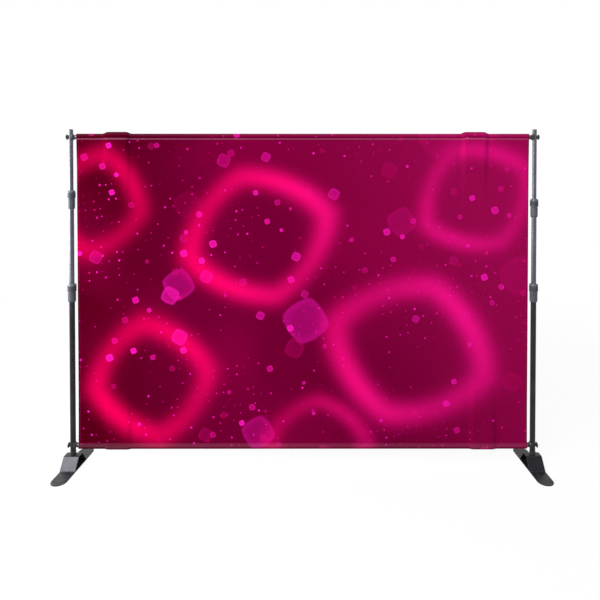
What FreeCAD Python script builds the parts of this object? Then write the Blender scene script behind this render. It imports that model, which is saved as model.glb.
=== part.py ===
import FreeCAD, Part
import math
import os
import Sketcher

# Telescopic banner stand, in millimetres.
# The origin is on the floor, midway between the uprights. X runs along the crossbars, Z is up, and the stand is
# seen from -Y. Every coupling, plug, bush and saddle is drawn upright at its own origin, and its placement puts it
# on its tube.

SIZES = {
    "Frame": [
        ("stand_width", 2500, "axis of one upright to the axis of the other"),
        ("stand_height", 1829, "floor to the top of the uprights"),
        ("bottom_bar_level", 116, "floor to the axis of the bottom crossbar"),
        ("top_bar_drop", 41.5, "top of an upright down to the axis of the top crossbar"),
        ("running_gap", 0.3, "gap between pieces that turn or slide past each other"),
        ("fit_gap", 0.1, "gap round a piece that is pressed or screwed into another"),
        ("overrun", 5, "how far a cut runs past what it cuts"),
    ],
    "Foot": [
        ("foot_width", 83, "width of the flat bar and its bridge, and twice the radius of the bar's round ends"),
        ("foot_length", 362, "end to end along the floor"),
        ("foot_plate", 4, "thickness of the bar and of the bridge"),
        ("foot_height", 65, "floor to the upper face of the bridge"),
        ("foot_top", 40, "length of the bridge's flat top"),
        ("bridge_reach", 64, "middle of the foot to the lower end of each slope"),
        ("bridge_bend_radius", 5, "inner radius of the bridge's two bends"),
    ],
    "Foot bolt and plug": [
        ("bolt_diameter", 8, "shank of the foot's bolt"),
        ("bolt_reach", 20, "length of the shank"),
        ("bolt_head_flats", 13, "across the flats of its hexagonal head"),
        ("bolt_head_height", 5.3, "height of that head"),
        ("plug_diameter", 31, "flange that stands on the foot"),
        ("plug_height", 19, "height of that flange"),
        ("plug_spigot", 24, "ribbed part inside the lower tube"),
        ("thread_spare", 1, "how much deeper a threaded hole is than its screw"),
    ],
    "Uprights": [
        ("lower_diameter", 28.6, "outside of the lower tube"),
        ("middle_diameter", 25.4, "outside of the middle tube"),
        ("top_diameter", 22.2, "outside of the top tube"),
        ("tube_wall", 1.2, "wall of every tube"),
        ("section_share", 0.4954, "cut length of each of the three tubes, of the drawn-out upright's"),
        ("left_middle_share", 0.573, "how much of the draw the left middle tube takes"),
        ("right_middle_share", 0.5212, "how much of the draw the right middle tube takes"),
        ("cap_height", 3, "cap above the top tube"),
        ("cap_spigot", 18, "ribbed part of the cap inside the tube"),
        ("guide_height", 22, "guide bush below the end of its tube"),
        ("guide_spigot", 18, "part of the guide bush inside its tube"),
    ],
    "Couplings": [
        ("collar_wall", 5.8, "wall of the collar round its tube"),
        ("collar_height", 54, "collar below the neck groove"),
        ("collar_taper", 10, "height of the tapered lower end"),
        ("collar_taper_depth", 2, "how much the radius shrinks there"),
        ("collar_seat", 50, "how far the tube goes into the collar"),
        ("neck_gap", 3, "groove between collar and nut"),
        ("thread_depth", 2.4, "step from the collar's radius to its threaded spigot"),
        ("finger_reach", 30, "collet fingers above the neck groove"),
        ("finger_slot_width", 2, "slots between the fingers"),
        ("finger_slot_depth", 24, "length of those slots"),
        ("nut_lip", 2.4, "how far the nut stands out past the collar"),
        ("nut_height", 43, "height of the twist nut"),
        ("nut_dome", 5, "bevel round its upper edge"),
        ("facets", 24, "flats round a collar and a nut, with a grip groove at every other corner"),
        ("nut_groove_width", 4, "width of a grip groove"),
        ("nut_groove_depth", 1.2, "depth of a grip groove"),
        ("nut_groove_margin", 5, "plain band under the grooves"),
    ],
    "Crossbars": [
        ("bar_diameter", 28.6, "outside of the outer tubes"),
        ("extension_diameter", 25.4, "outside of the extension tubes"),
        ("extension_length", 760, "cut length of an extension tube"),
        ("top_bar_end", 237, "axis of an upright to the nearer end of a top coupling, were the bar centred"),
        ("top_bar_shift", -37.5, "that joint, from the middle of the stand"),
        ("bottom_bar_end", 210, "axis of an upright to the nearer end of a bottom coupling, likewise"),
        ("bottom_bar_shift", -14, "that joint, from the middle of the stand"),
        ("joiner_ring", 4, "ring of the joiner between the outer tubes"),
        ("joiner_spigot", 80, "ribbed part of the joiner in each outer tube"),
    ],
    "Saddles and knobs": [
        ("saddle_reach", 30, "axis of the upright to the end of the extension tube"),
        ("saddle_neck", 20, "side of its square neck, on that end"),
        ("saddle_height", 32, "height of its flared face against the upright"),
        ("saddle_width", 28, "width of that face"),
        ("saddle_lip", 6, "straight rim of the flare"),
        ("saddle_wrap", 7, "how far in front of the upright's axis the flare stops"),
        ("saddle_spigot", 26, "ribbed part of the saddle inside the extension"),
        ("stud_diameter", 8, "threaded stud of a knob"),
        ("stud_hole_play", 0.4, "radial play of the stud in the upright's holes"),
        ("stud_grip", 14, "stud beyond the upright's wall, inside the saddle"),
        ("knob_diameter", 30, "across the lobes of the knob"),
        ("knob_thickness", 4, "rim of the knob"),
        ("knob_back", 3, "conical back of the knob"),
        ("knob_hub_flats", 14, "across the flats of the hexagonal hub"),
        ("knob_hub_length", 4, "hub between the upright and the back"),
        ("knob_lobes", 6, "lobes round the hub"),
        ("knob_lobe_width", 8, "width of a lobe"),
        ("rib_thickness", 3, "ribs of every plug, spigot and bush"),
    ],
    "Banner": [
        ("banner_gap", 31, "axis of an upright to the cloth's edge"),
        ("cloth", 0.8, "thickness of the cloth with its print"),
        ("pocket_play", 0.3, "gap between a pocket and what it goes round"),
        ("pocket_tail", 11, "pocket's seam, beyond its round part"),
        ("bulge_ramp", 25, "length in which the pocket widens to a coupling"),
    ],
}

doc = FreeCAD.newDocument("banner_stand")
sheet = doc.addObject("Spreadsheet::Sheet", "Sizes")


def fill_sheet():
    """Write every size to the sheet, under the name of its group."""
    row = 1
    for group, sizes in SIZES.items():
        sheet.set("A%d" % row, group)
        row += 1
        for alias, number, meaning in sizes:
            sheet.set("A%d" % row, alias)
            sheet.set("B%d" % row, str(number))
            sheet.setAlias("B%d" % row, alias)
            sheet.set("C%d" % row, meaning)
            row += 1
    doc.recompute()


fill_sheet()


def value(expression):
    """The number that an expression in the sheet's sizes stands for."""
    return float(sheet.evalExpression(expression))


# Sizes that follow from others, as expressions that the features below are bound to.
COLLAR_TOP = "collar_height + neck_gap + finger_reach"
NUT_FOOT = "collar_height + neck_gap"
COUPLING = "collar_height + neck_gap + nut_height"
UPRIGHT_OFFSET = "stand_width / 2"
TUBE_FOOT = "foot_height + plug_height"
TUBES_REACH = "(stand_height - cap_height - foot_height - plug_height)"
SECTION = "(section_share * %s)" % TUBES_REACH
DRAW = "(%s - %s)" % (TUBES_REACH, SECTION)
TOP_BAR_LEVEL = "stand_height - top_bar_drop"
COLLAR_ON_TUBE = "%s - collar_seat" % SECTION
TOP_BAR_HALF = "(%s - top_bar_end)" % UPRIGHT_OFFSET
BOTTOM_BAR_HALF = "(%s - bottom_bar_end)" % UPRIGHT_OFFSET
BANNER_WIDTH = "(stand_width - 2 * banner_gap)"
BEND_SHIFT = "foot_plate * tan(atan((foot_height - foot_plate) / (bridge_reach - foot_top / 2)) / 2)"
POCKET_BORE = "bar_diameter / 2 + pocket_play"
BULGE_BORE = "bar_diameter / 2 + collar_wall + nut_lip + pocket_play"


def on_sheet(expression):
    """The same expression, with each size's name spelled as the sheet's."""
    names = sorted((alias for sizes in SIZES.values() for alias, _, _ in sizes), key=len, reverse=True)
    words = []
    word = ""
    for letter in expression + " ":
        if letter.isalnum() or letter == "_":
            word += letter
            continue
        words.append("Sizes." + word if word in names else word)
        words.append(letter)
        word = ""
    return "".join(words).strip()


def bind(thing, place, expression):
    """Drive one property of an object from the sheet."""
    thing.setExpression(place, on_sheet(expression))


def new_body(label):
    """An empty body whose label is its node's name."""
    body = doc.addObject("PartDesign::Body", label)
    body.Label = label
    return body


def origin_part(body, role):
    """A plane or axis of a body's own origin."""
    return next(part for part in body.Origin.OriginFeatures if part.Role == role)


def new_sketch(body, name, plane, level=None):
    """An empty sketch on one of the body's origin planes, raised along the plane's normal."""
    sketch = body.newObject("Sketcher::SketchObject", name)
    sketch.AttachmentSupport = [(origin_part(body, plane), "")]
    sketch.MapMode = "FlatFace"
    if level is not None:
        bind(sketch, "AttachmentOffset.Base.z", level)
    return sketch


def drive(sketch, kind, geometry, point, expression):
    """Hold a point of the sketch at a distance from its origin along one of its axes."""
    if expression == "0":
        axis = -2 if kind == "DistanceX" else -1
        sketch.addConstraint(Sketcher.Constraint("PointOnObject", geometry, point, axis))
        return
    constraint = Sketcher.Constraint(kind, -1, 1, geometry, point, value(expression))
    index = sketch.addConstraint(constraint)
    name = "%s_%d_%d" % (kind[-1].lower(), geometry, point)
    sketch.renameConstraint(index, name)
    bind(sketch, "Constraints." + name, expression)


def outline(sketch, corners):
    """A closed outline of straight lines, each corner driven from the sheet."""
    first = sketch.GeometryCount
    points = [FreeCAD.Vector(value(across), value(up), 0) for across, up in corners]
    count = len(points)
    for index, point in enumerate(points):
        sketch.addGeometry(Part.LineSegment(point, points[(index + 1) % count]))
    for index in range(count):
        after = first + (index + 1) % count
        sketch.addConstraint(Sketcher.Constraint("Coincident", first + index, 2, after, 1))
    for index, (across, up) in enumerate(corners):
        drive(sketch, "DistanceX", first + index, 1, across)
        drive(sketch, "DistanceY", first + index, 1, up)


def hexagon(sketch, flats):
    """A hexagon given by the size across its flats, with two corners on the sketch's vertical axis."""
    side = "%s / 2" % flats
    low = "%s / (2 * sqrt(3))" % flats
    point = "%s / sqrt(3)" % flats
    corners = [(side, low), ("0", point), ("-" + side, low)]
    corners += [("-" + side, "-" + low), ("0", "-" + point), (side, "-" + low)]
    outline(sketch, corners)


def circle(sketch, radius, across="0", up="0"):
    """A circle with its radius and centre driven from the sheet."""
    centre = FreeCAD.Vector(value(across), value(up), 0)
    index = sketch.addGeometry(Part.Circle(centre, FreeCAD.Vector(0, 0, 1), value(radius)))
    drive(sketch, "DistanceX", index, 3, across)
    drive(sketch, "DistanceY", index, 3, up)
    constraint = sketch.addConstraint(Sketcher.Constraint("Radius", index, value(radius)))
    name = "radius_%d" % index
    sketch.renameConstraint(constraint, name)
    bind(sketch, "Constraints." + name, radius)


def pad(body, sketch, name, length, symmetric=False, downwards=False):
    """Raise a sketch by a length from the sheet."""
    feature = body.newObject("PartDesign::Pad", name)
    feature.Profile = sketch
    bind(feature, "Length", length)
    if symmetric:
        feature.SideType = "Symmetric"
    feature.Reversed = downwards
    return feature


def pocket(body, sketch, name, depth=None, reverse=False):
    """Cut a sketch out of the body: to a depth, or right through both ways."""
    feature = body.newObject("PartDesign::Pocket", name)
    feature.Profile = sketch
    if depth is None:
        feature.Type = "ThroughAll"
        feature.SideType = "Symmetric"
        return feature
    bind(feature, "Length", depth)
    feature.Reversed = reverse
    return feature


def turned(body, name, corners):
    """Turn an outline of radius and height about the body's Z axis."""
    sketch = new_sketch(body, name + "_profile", "XZ_Plane")
    outline(sketch, corners)
    feature = body.newObject("PartDesign::Revolution", name)
    feature.Profile = sketch
    feature.ReferenceAxis = (sketch, ["V_Axis"])
    return feature


def repeated(body, feature, name, count):
    """Repeat a cut round the body's Z axis."""
    pattern = body.newObject("PartDesign::PolarPattern", name)
    pattern.Originals = [feature]
    pattern.Axis = (origin_part(body, "Z_Axis"), [""])
    pattern.Angle = 360
    bind(pattern, "Occurrences", count)
    body.Tip = pattern
    return pattern


def ribs(body, name, bore, level, height, downwards=False):
    """Four ribs in a cross that fill a round bore up to the fit gap."""
    half = "rib_thickness / 2"
    reach = "sqrt((%s - fit_gap) ^ 2 - (%s) ^ 2)" % (bore, half)
    sketch = new_sketch(body, name + "_profile", "XY_Plane", level)
    corners = [(half, half), (half, reach), ("-" + half, reach), ("-" + half, half)]
    corners += [("-(%s)" % reach, half), ("-(%s)" % reach, "-" + half), ("-" + half, "-" + half)]
    corners += [("-" + half, "-(%s)" % reach), (half, "-(%s)" % reach), (half, "-" + half)]
    corners += [(reach, "-" + half), (reach, half)]
    outline(sketch, corners)
    return pad(body, sketch, name, height, downwards=downwards)


def stand_at(body, across, level):
    """Put an upright piece at a distance across and a height."""
    bind(body, "Placement.Base.x", across)
    bind(body, "Placement.Base.z", level)


def lay_at(body, side, across, level):
    """Lay a piece along a crossbar, its Z axis pointing out from the middle on its side."""
    body.Placement = FreeCAD.Placement(
        FreeCAD.Vector(), FreeCAD.Rotation(FreeCAD.Vector(0, 1, 0), 90 * side)
    )
    stand_at(body, across, level)


# Tubes

def tube(label, diameter, length, hole_level=None):
    """A round tube along Z, cross-drilled for a knob's stud where a level is given."""
    body = new_body(label)
    section = new_sketch(body, "section", "XY_Plane")
    circle(section, "%s / 2" % diameter)
    circle(section, "%s / 2 - tube_wall" % diameter)
    pad(body, section, "tube", length)
    if hole_level is not None:
        hole = new_sketch(body, "stud_hole_profile", "YZ_Plane")
        circle(hole, "stud_diameter / 2 + stud_hole_play", "0", hole_level)
        pocket(body, hole, "stud_hole")
    return body


# Couplings

def end_face(shape, upwards):
    """The name of a shape's highest or lowest face."""
    names = {}
    number = 0
    for face in shape.Faces:
        number += 1
        names[face.CenterOfMass.z] = "Face%d" % number
    return names[max(names) if upwards else min(names)]


def bevelled_prism(body, name, radius, height, upwards, length, depth):
    """A faceted barrel along Z with one end bevelled, length along the axis and depth across it."""
    barrel = body.newObject("PartDesign::AdditivePrism", name)
    barrel.MapMode = "Deactivated"
    bind(barrel, "Polygon", "facets")
    bind(barrel, "Circumradius", radius)
    bind(barrel, "Height", height)
    doc.recompute()
    bevel = body.newObject("PartDesign::Chamfer", name + "_bevel")
    bevel.Base = (barrel, [end_face(barrel.Shape, upwards)])
    bevel.ChamferType = "Two distances"
    bind(bevel, "Size", depth)
    bind(bevel, "Size2", length)
    return bevel


def bored(body, name, corners):
    """Cut an outline of radius and height about the body's Z axis."""
    sketch = new_sketch(body, name + "_profile", "XZ_Plane")
    outline(sketch, corners)
    feature = body.newObject("PartDesign::Groove", name)
    feature.Profile = sketch
    feature.ReferenceAxis = (sketch, ["V_Axis"])
    return feature


def collar(label, diameter, inner_diameter):
    """Collar of a coupling: it grips its tube below, and ends in collet fingers round the inner tube."""
    body = new_body(label)
    seat = "%s / 2 + fit_gap" % diameter
    bore = "%s / 2 + running_gap" % inner_diameter
    outside = "%s / 2 + collar_wall" % diameter
    bevelled_prism(body, "grip", outside, "collar_height", False, "collar_taper", "collar_taper_depth")
    fingers = new_sketch(body, "fingers_profile", "XY_Plane", "collar_height")
    circle(fingers, "%s / 2 + collar_wall - thread_depth" % diameter)
    pad(body, fingers, "fingers", "%s - collar_height" % COLLAR_TOP)
    above = COLLAR_TOP + " + overrun"
    corners = [("0", "-overrun"), (seat, "-overrun"), (seat, "collar_seat"), (bore, "collar_seat")]
    bored(body, "bore", corners + [(bore, above), ("0", above)])
    half = "finger_slot_width / 2"
    root = COLLAR_TOP + " - finger_slot_depth"
    slot = new_sketch(body, "slot_profile", "XZ_Plane")
    outline(slot, [("-" + half, root), (half, root), (half, above), ("-" + half, above)])
    pocket(body, slot, "slot")
    return body


def collar_pair(label, one, other):
    """The two equal collars of a crossbar, as one piece of the list."""
    pair = doc.addObject("Part::Compound", label)
    pair.Label = label
    pair.Links = [one, other]
    return pair


def nut(label, diameter, inner_diameter, grooved):
    """Twist nut of a coupling: it screws down the collar and its shoulder presses on the fingers."""
    body = new_body(label)
    rim = "%s / 2 + collar_wall + nut_lip" % diameter
    thread = "%s / 2 + collar_wall - thread_depth + running_gap" % diameter
    mouth = "%s / 2 + running_gap" % inner_diameter
    bevelled_prism(body, "barrel", rim, "nut_height", True, "nut_dome", "nut_dome")
    corners = [
        ("0", "-overrun"),
        (thread, "-overrun"),
        (thread, "finger_reach + running_gap"),
        (mouth, "finger_reach + running_gap"),
        (mouth, "nut_height + overrun"),
        ("0", "nut_height + overrun"),
    ]
    bored(body, "inside", corners)
    if not grooved:
        return body
    groove = new_sketch(body, "groove_profile", "XY_Plane", "nut_groove_margin")
    floor = rim + " - nut_groove_depth"
    beyond = rim + " + overrun"
    half = "nut_groove_width / 2"
    outline(groove, [(floor, "-" + half), (beyond, "-" + half), (beyond, half), (floor, half)])
    cut = pocket(body, groove, "groove", "nut_height", reverse=True)
    repeated(body, cut, "grooves", "facets / 2")
    return body


# Uprights

def foot(label):
    """Flat steel bar on the floor, with round ends."""
    body = new_body(label)
    plan = new_sketch(body, "bar_profile", "XY_Plane")
    side = "foot_width / 2"
    end = "foot_length / 2"
    outline(plan, [("-" + side, "-" + end), (side, "-" + end), (side, end), ("-" + side, end)])
    pad(body, plan, "bar", "foot_plate")
    repeated(body, foot_end(body), "ends", "2")
    return body


def foot_bridge(label):
    """Steel strip bent into a bridge that stands on the bar, with a hole for the foot's bolt."""
    body = new_body(label)
    side = new_sketch(body, "side_profile", "YZ_Plane")
    slope = "(bridge_reach - foot_top / 2) / (foot_height - foot_plate)"
    inner_top = "(foot_top / 2 - %s)" % BEND_SHIFT
    inner_foot = "(%s + (foot_height - 2 * foot_plate) * %s)" % (inner_top, slope)
    right = [
        (inner_foot, "foot_plate"),
        ("bridge_reach", "foot_plate"),
        ("foot_top / 2", "foot_height"),
    ]
    left = [("-(%s)" % along, up) for along, up in reversed(right)]
    under = [("-" + inner_top, "foot_height - foot_plate"), (inner_top, "foot_height - foot_plate")]
    outline(side, right + left + under)
    strip = pad(body, side, "strip", "foot_width", symmetric=True)
    hollow = [(inner_top, "foot_height - foot_plate")]
    inner = rounded(body, strip, "inner_bends", hollow, "bridge_bend_radius")
    proud = [("foot_top / 2", "foot_height")]
    rounded(body, inner, "outer_bends", proud, "bridge_bend_radius + foot_plate")
    hole = new_sketch(body, "bolt_hole_profile", "XY_Plane")
    circle(hole, "bolt_diameter / 2 + stud_hole_play")
    pocket(body, hole, "bolt_hole")
    return body


def rounded(body, feature, name, corners, radius):
    """Round the bridge's bends at the given places, both in front of its middle and behind it."""
    doc.recompute()
    near = value("foot_plate / 10")
    edges = []
    for index, edge in enumerate(feature.Shape.Edges, start=1):
        box = edge.BoundBox
        if box.XLength < box.YLength + box.ZLength:
            continue
        middle = edge.CenterOfMass
        for along, up in corners:
            if abs(abs(middle.y) - value(along)) + abs(middle.z - value(up)) < near:
                edges.append("Edge%d" % index)
    fillet = body.newObject("PartDesign::Fillet", name)
    fillet.Base = (feature, edges)
    bind(fillet, "Radius", radius)
    return fillet


def foot_end(body):
    """Cut one end of the bar to a half circle."""
    plan = new_sketch(body, "end_profile", "XY_Plane")
    half = "foot_width / 2"
    beside = "(foot_width / 2 + overrun)"
    root = "foot_length / 2 - foot_width / 2"
    beyond = "foot_length / 2 + overrun"
    centre = FreeCAD.Vector(0, value(root), 0)
    circle_of_end = Part.Circle(centre, FreeCAD.Vector(0, 0, 1), value(half))
    arc = plan.addGeometry(Part.ArcOfCircle(circle_of_end, 0, math.pi))
    drive(plan, "DistanceY", arc, 3, root)
    corners = [("-" + half, root), ("-" + beside, root), ("-" + beside, beyond)]
    corners += [(beside, beyond), (beside, root), (half, root)]
    points = [FreeCAD.Vector(value(across), value(along), 0) for across, along in corners]
    lines = [plan.addGeometry(Part.LineSegment(a, b)) for a, b in zip(points, points[1:])]
    for line, after in zip(lines, lines[1:]):
        plan.addConstraint(Sketcher.Constraint("Coincident", line, 2, after, 1))
    plan.addConstraint(Sketcher.Constraint("Coincident", arc, 2, lines[0], 1))
    plan.addConstraint(Sketcher.Constraint("Coincident", arc, 1, lines[-1], 2))
    for line, (across, along) in zip(lines, corners):
        drive(plan, "DistanceX", line, 1, across)
        drive(plan, "DistanceY", line, 1, along)
    drive(plan, "DistanceX", lines[-1], 2, corners[-1][0])
    drive(plan, "DistanceY", lines[-1], 2, corners[-1][1])
    return pocket(body, plan, "end")


def foot_bolt(label):
    """Hexagonal bolt, its origin under the bridge's flat top."""
    body = new_body(label)
    shank = new_sketch(body, "shank_profile", "XY_Plane")
    circle(shank, "bolt_diameter / 2")
    pad(body, shank, "shank", "bolt_reach")
    head = new_sketch(body, "head_profile", "XY_Plane")
    hexagon(head, "bolt_head_flats")
    pad(body, head, "head", "bolt_head_height", downwards=True)
    return body


def base_plug(label):
    """Plug that stands on the foot and carries the lower tube, threaded for the foot's bolt."""
    body = new_body(label)
    flange = new_sketch(body, "flange_profile", "XY_Plane")
    circle(flange, "plug_diameter / 2")
    pad(body, flange, "flange", "plug_height")
    ribs(body, "spigot", "(lower_diameter / 2 - tube_wall)", "plug_height", "plug_spigot")
    thread = new_sketch(body, "thread_profile", "XY_Plane")
    circle(thread, "bolt_diameter / 2 + fit_gap")
    pocket(body, thread, "thread", "bolt_reach - foot_plate + thread_spare", reverse=True)
    return body


def guide(label, diameter, outer_diameter):
    """Cross-shaped bush on the lower end of a sliding tube, its origin at that end."""
    body = new_body(label)
    ribs(body, "bush", "(%s / 2 - tube_wall)" % outer_diameter, "0", "guide_height", downwards=True)
    ribs(body, "spigot", "(%s / 2 - tube_wall)" % diameter, "0", "guide_spigot")
    return body


def top_cap(label):
    """Cap of an upright, its origin at the end of the top tube."""
    body = new_body(label)
    disc = new_sketch(body, "disc_profile", "XY_Plane")
    circle(disc, "top_diameter / 2")
    pad(body, disc, "disc", "cap_height")
    ribs(body, "spigot", "(top_diameter / 2 - tube_wall)", "0", "cap_spigot", downwards=True)
    return body


# Crossbar ends

def saddle(label, upright_diameter):
    """End fitting of an extension tube, its origin on the upright's axis and hollowed to hug the upright."""
    body = new_body(label)
    root = "-saddle_reach"
    rim = "-(saddle_wrap + saddle_lip)"
    narrow = "saddle_neck / 2"
    tall = "saddle_height / 2"
    wide = "saddle_width / 2"
    side_view = new_sketch(body, "side_profile", "XZ_Plane")
    corners = [(narrow, root), (tall, rim), (tall, "-saddle_wrap")]
    corners += [("-" + tall, "-saddle_wrap"), ("-" + tall, rim), ("-" + narrow, root)]
    outline(side_view, corners)
    pad(body, side_view, "block", "saddle_width", symmetric=True)
    for edge in ("", "-"):
        wedge = new_sketch(body, "wedge_profile", "YZ_Plane")
        outline(wedge, [(edge + narrow, root), (edge + wide, root), (edge + wide, rim)])
        pocket(body, wedge, "wedge")
    hollow = new_sketch(body, "hollow_profile", "YZ_Plane")
    circle(hollow, "%s / 2 + fit_gap" % upright_diameter)
    pocket(body, hollow, "hollow")
    insert = new_sketch(body, "insert_profile", "XY_Plane")
    circle(insert, "stud_diameter / 2 + fit_gap")
    pocket(body, insert, "insert", "%s / 2 + stud_grip + thread_spare" % upright_diameter)
    ribs(body, "spigot", "(extension_diameter / 2 - tube_wall)", root, "saddle_spigot", downwards=True)
    return body


def knob(label, upright_diameter):
    """Lobed thumb knob with its stud, its origin on the upright's axis."""
    body = new_body(label)
    face = "%s / 2 + running_gap" % upright_diameter
    back = face + " + knob_hub_length"
    rim = back + " + knob_back"
    end = rim + " + knob_thickness"
    stud = new_sketch(body, "stud_profile", "XY_Plane", face)
    circle(stud, "stud_diameter / 2")
    pad(body, stud, "stud", "%s + %s / 2 + stud_grip" % (face, upright_diameter), downwards=True)
    hub = new_sketch(body, "hub_profile", "XY_Plane", face)
    hexagon(hub, "knob_hub_flats")
    pad(body, hub, "hub", "%s - (%s)" % (end, face))
    lobe = new_sketch(body, "lobe_profile", "YZ_Plane")
    root = "knob_hub_flats / 4"
    reach = "knob_diameter / 2"
    outline(lobe, [(root, back), (reach, rim), (reach, end), (root, end)])
    wing = pad(body, lobe, "lobe", "knob_lobe_width", symmetric=True)
    repeated(body, wing, "lobes", "knob_lobes")
    return body


def joiner(label):
    """Ring with a ribbed spigot on each side, where a crossbar's two outer tubes meet."""
    body = new_body(label)
    half = "joiner_ring / 2"
    rim = "bar_diameter / 2"
    turned(body, "ring", [("0", "-" + half), (rim, "-" + half), (rim, half), ("0", half)])
    bore = "(bar_diameter / 2 - tube_wall)"
    ribs(body, "outer_spigot", bore, half, "joiner_spigot")
    ribs(body, "inner_spigot", bore, "-" + half, "joiner_spigot", downwards=True)
    return body


# Banner

def pocket_section(across, level, radius, reach, round_side):
    """Section of a pole pocket: round past its tube, with two straight sides that meet at the seam."""
    side = radius * math.sqrt(1 - (radius / reach) ** 2)
    drop = radius ** 2 / reach
    slant = radius * math.sqrt(0.5)

    def at(along, up):
        return FreeCAD.Vector(across, along, level + round_side * up)

    crown = at(0, radius)
    seam = at(0, -reach)
    edges = [
        Part.makeLine(seam, at(-side, -drop)),
        Part.Arc(at(-side, -drop), at(-slant, slant), crown).toShape(),
        Part.Arc(crown, at(slant, slant), at(side, -drop)).toShape(),
        Part.makeLine(at(side, -drop), seam),
    ]
    return Part.Wire(edges)


def pocket_stations(half, shift):
    """Places along a crossbar and the pocket's bore there, from one edge of the banner to the other."""
    narrow = value(POCKET_BORE)
    wide = value(BULGE_BORE)
    ramp = value("bulge_ramp")
    edge = value(BANNER_WIDTH + " / 2")
    ends = []
    for side in (-1, 1):
        inner = shift + side * (half - value(COUPLING))
        outer = shift + side * half
        ends += [(inner - side * ramp, narrow), (inner, wide), (outer, wide), (outer + side * ramp, narrow)]
    return sorted([(-edge, narrow), (edge, narrow)] + ends)


def pole_pocket(level, half, shift, round_side):
    """The outside and the hollow of a pole pocket, each a solid."""
    cloth = value("cloth")
    tail = value("pocket_tail")
    outside = []
    hollow = []
    for across, bore in pocket_stations(half, shift):
        radius = bore + cloth
        reach = radius + tail
        outside.append(pocket_section(across, level, radius, reach, round_side))
        hollow.append(pocket_section(across, level, bore, reach * bore / radius, round_side))
    return Part.makeLoft(outside, True, True), Part.makeLoft(hollow, True, True)


def banner(label):
    """One sheet of cloth, with a pocket for each crossbar sewn along its top and bottom edges."""
    cloth = value("cloth")
    width = value(BANNER_WIDTH)
    seam = value("%s + cloth + pocket_tail" % POCKET_BORE)
    top = value(TOP_BAR_LEVEL)
    bottom = value("bottom_bar_level")
    low = bottom + seam - cloth
    high = top - seam + cloth
    panel = Part.makeBox(width, cloth, high - low, FreeCAD.Vector(-width / 2, -cloth / 2, low))
    upper, upper_hollow = pole_pocket(top, value(TOP_BAR_HALF), value("top_bar_shift"), 1)
    lower, lower_hollow = pole_pocket(bottom, value(BOTTOM_BAR_HALF), value("bottom_bar_shift"), -1)
    sheet_of_cloth = panel.fuse([upper, lower]).cut([upper_hollow, lower_hollow])
    node = doc.addObject("Part::Feature", label)
    node.Label = label
    node.Shape = sheet_of_cloth.removeSplitter()
    return node


# Assembly

SIDES = (("left", -1), ("right", 1))
nodes = []


def add_upright(name, side):
    """Every piece of one upright, from its foot to its cap."""
    across = "%d * %s" % (side, UPRIGHT_OFFSET)
    middle_foot = "%s + %s_middle_share * %s" % (TUBE_FOOT, name, DRAW)
    top_foot = "%s + %s" % (TUBE_FOOT, DRAW)
    lower_collar = "%s + %s" % (TUBE_FOOT, COLLAR_ON_TUBE)
    upper_collar = "%s + %s" % (middle_foot, COLLAR_ON_TUBE)
    bottom_stud = "bottom_bar_level - (%s)" % TUBE_FOOT
    top_stud = "%s + cap_height - top_bar_drop" % SECTION
    pieces = [
        (foot(name + "_foot"), "0"),
        (foot_bridge(name + "_foot_bridge"), "0"),
        (foot_bolt(name + "_foot_bolt"), "foot_height - foot_plate"),
        (base_plug(name + "_base_plug"), "foot_height"),
        (tube(name + "_lower_tube", "lower_diameter", SECTION, bottom_stud), TUBE_FOOT),
        (collar(name + "_lower_collar", "lower_diameter", "middle_diameter"), lower_collar),
        (nut(name + "_lower_nut", "lower_diameter", "middle_diameter", True), lower_collar + " + " + NUT_FOOT),
        (tube(name + "_middle_tube", "middle_diameter", SECTION), middle_foot),
        (guide(name + "_middle_guide", "middle_diameter", "lower_diameter"), middle_foot),
        (collar(name + "_upper_collar", "middle_diameter", "top_diameter"), upper_collar),
        (nut(name + "_upper_nut", "middle_diameter", "top_diameter", True), upper_collar + " + " + NUT_FOOT),
        (tube(name + "_top_tube", "top_diameter", SECTION, top_stud), top_foot),
        (guide(name + "_top_guide", "top_diameter", "middle_diameter"), top_foot),
        (top_cap(name + "_top_cap"), "%s + %s" % (top_foot, SECTION)),
    ]
    for body, level in pieces:
        stand_at(body, across, level)
        nodes.append(body)


def add_crossbar(name, level, half, upright_diameter):
    """Every piece of one crossbar, with the knobs that hold it to the uprights."""
    shift = name + "_bar_shift"
    middle = joiner(name + "_joiner")
    lay_at(middle, 1, shift, level)
    nodes.append(middle)
    length = "%s - (%s) + collar_seat - joiner_ring / 2" % (half, COUPLING)
    collars = []
    for side_name, side in SIDES:
        label = "%s_%s_" % (name, side_name)
        collar_at = "%s + %d * (%s - (%s))" % (shift, side, half, COUPLING)
        nut_at = "%s + %d * (%s)" % (collar_at, side, NUT_FOOT)
        extension_at = "%d * (%s - saddle_reach - extension_length)" % (side, UPRIGHT_OFFSET)
        upright_at = "%d * %s" % (side, UPRIGHT_OFFSET)
        pieces = [
            (tube(label + "tube", "bar_diameter", length), "%s + %d * joiner_ring / 2" % (shift, side)),
            (nut(label + "nut", "bar_diameter", "extension_diameter", False), nut_at),
            (tube(label + "extension", "extension_diameter", "extension_length"), extension_at),
            (saddle(label + "saddle", upright_diameter), upright_at),
            (knob(label + "knob", upright_diameter), upright_at),
        ]
        for body, across in pieces:
            lay_at(body, side, across, level)
            nodes.append(body)
        collars.append(collar(label + "collar", "bar_diameter", "extension_diameter"))
        lay_at(collars[-1], side, collar_at, level)
    nodes.append(collar_pair(name + "_collars", *collars))


for side_name, side in SIDES:
    add_upright(side_name, side)
add_crossbar("bottom", "bottom_bar_level", BOTTOM_BAR_HALF, "lower_diameter")
add_crossbar("top", TOP_BAR_LEVEL, TOP_BAR_HALF, "top_diameter")
nodes.append(banner("banner"))
doc.recompute()


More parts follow.
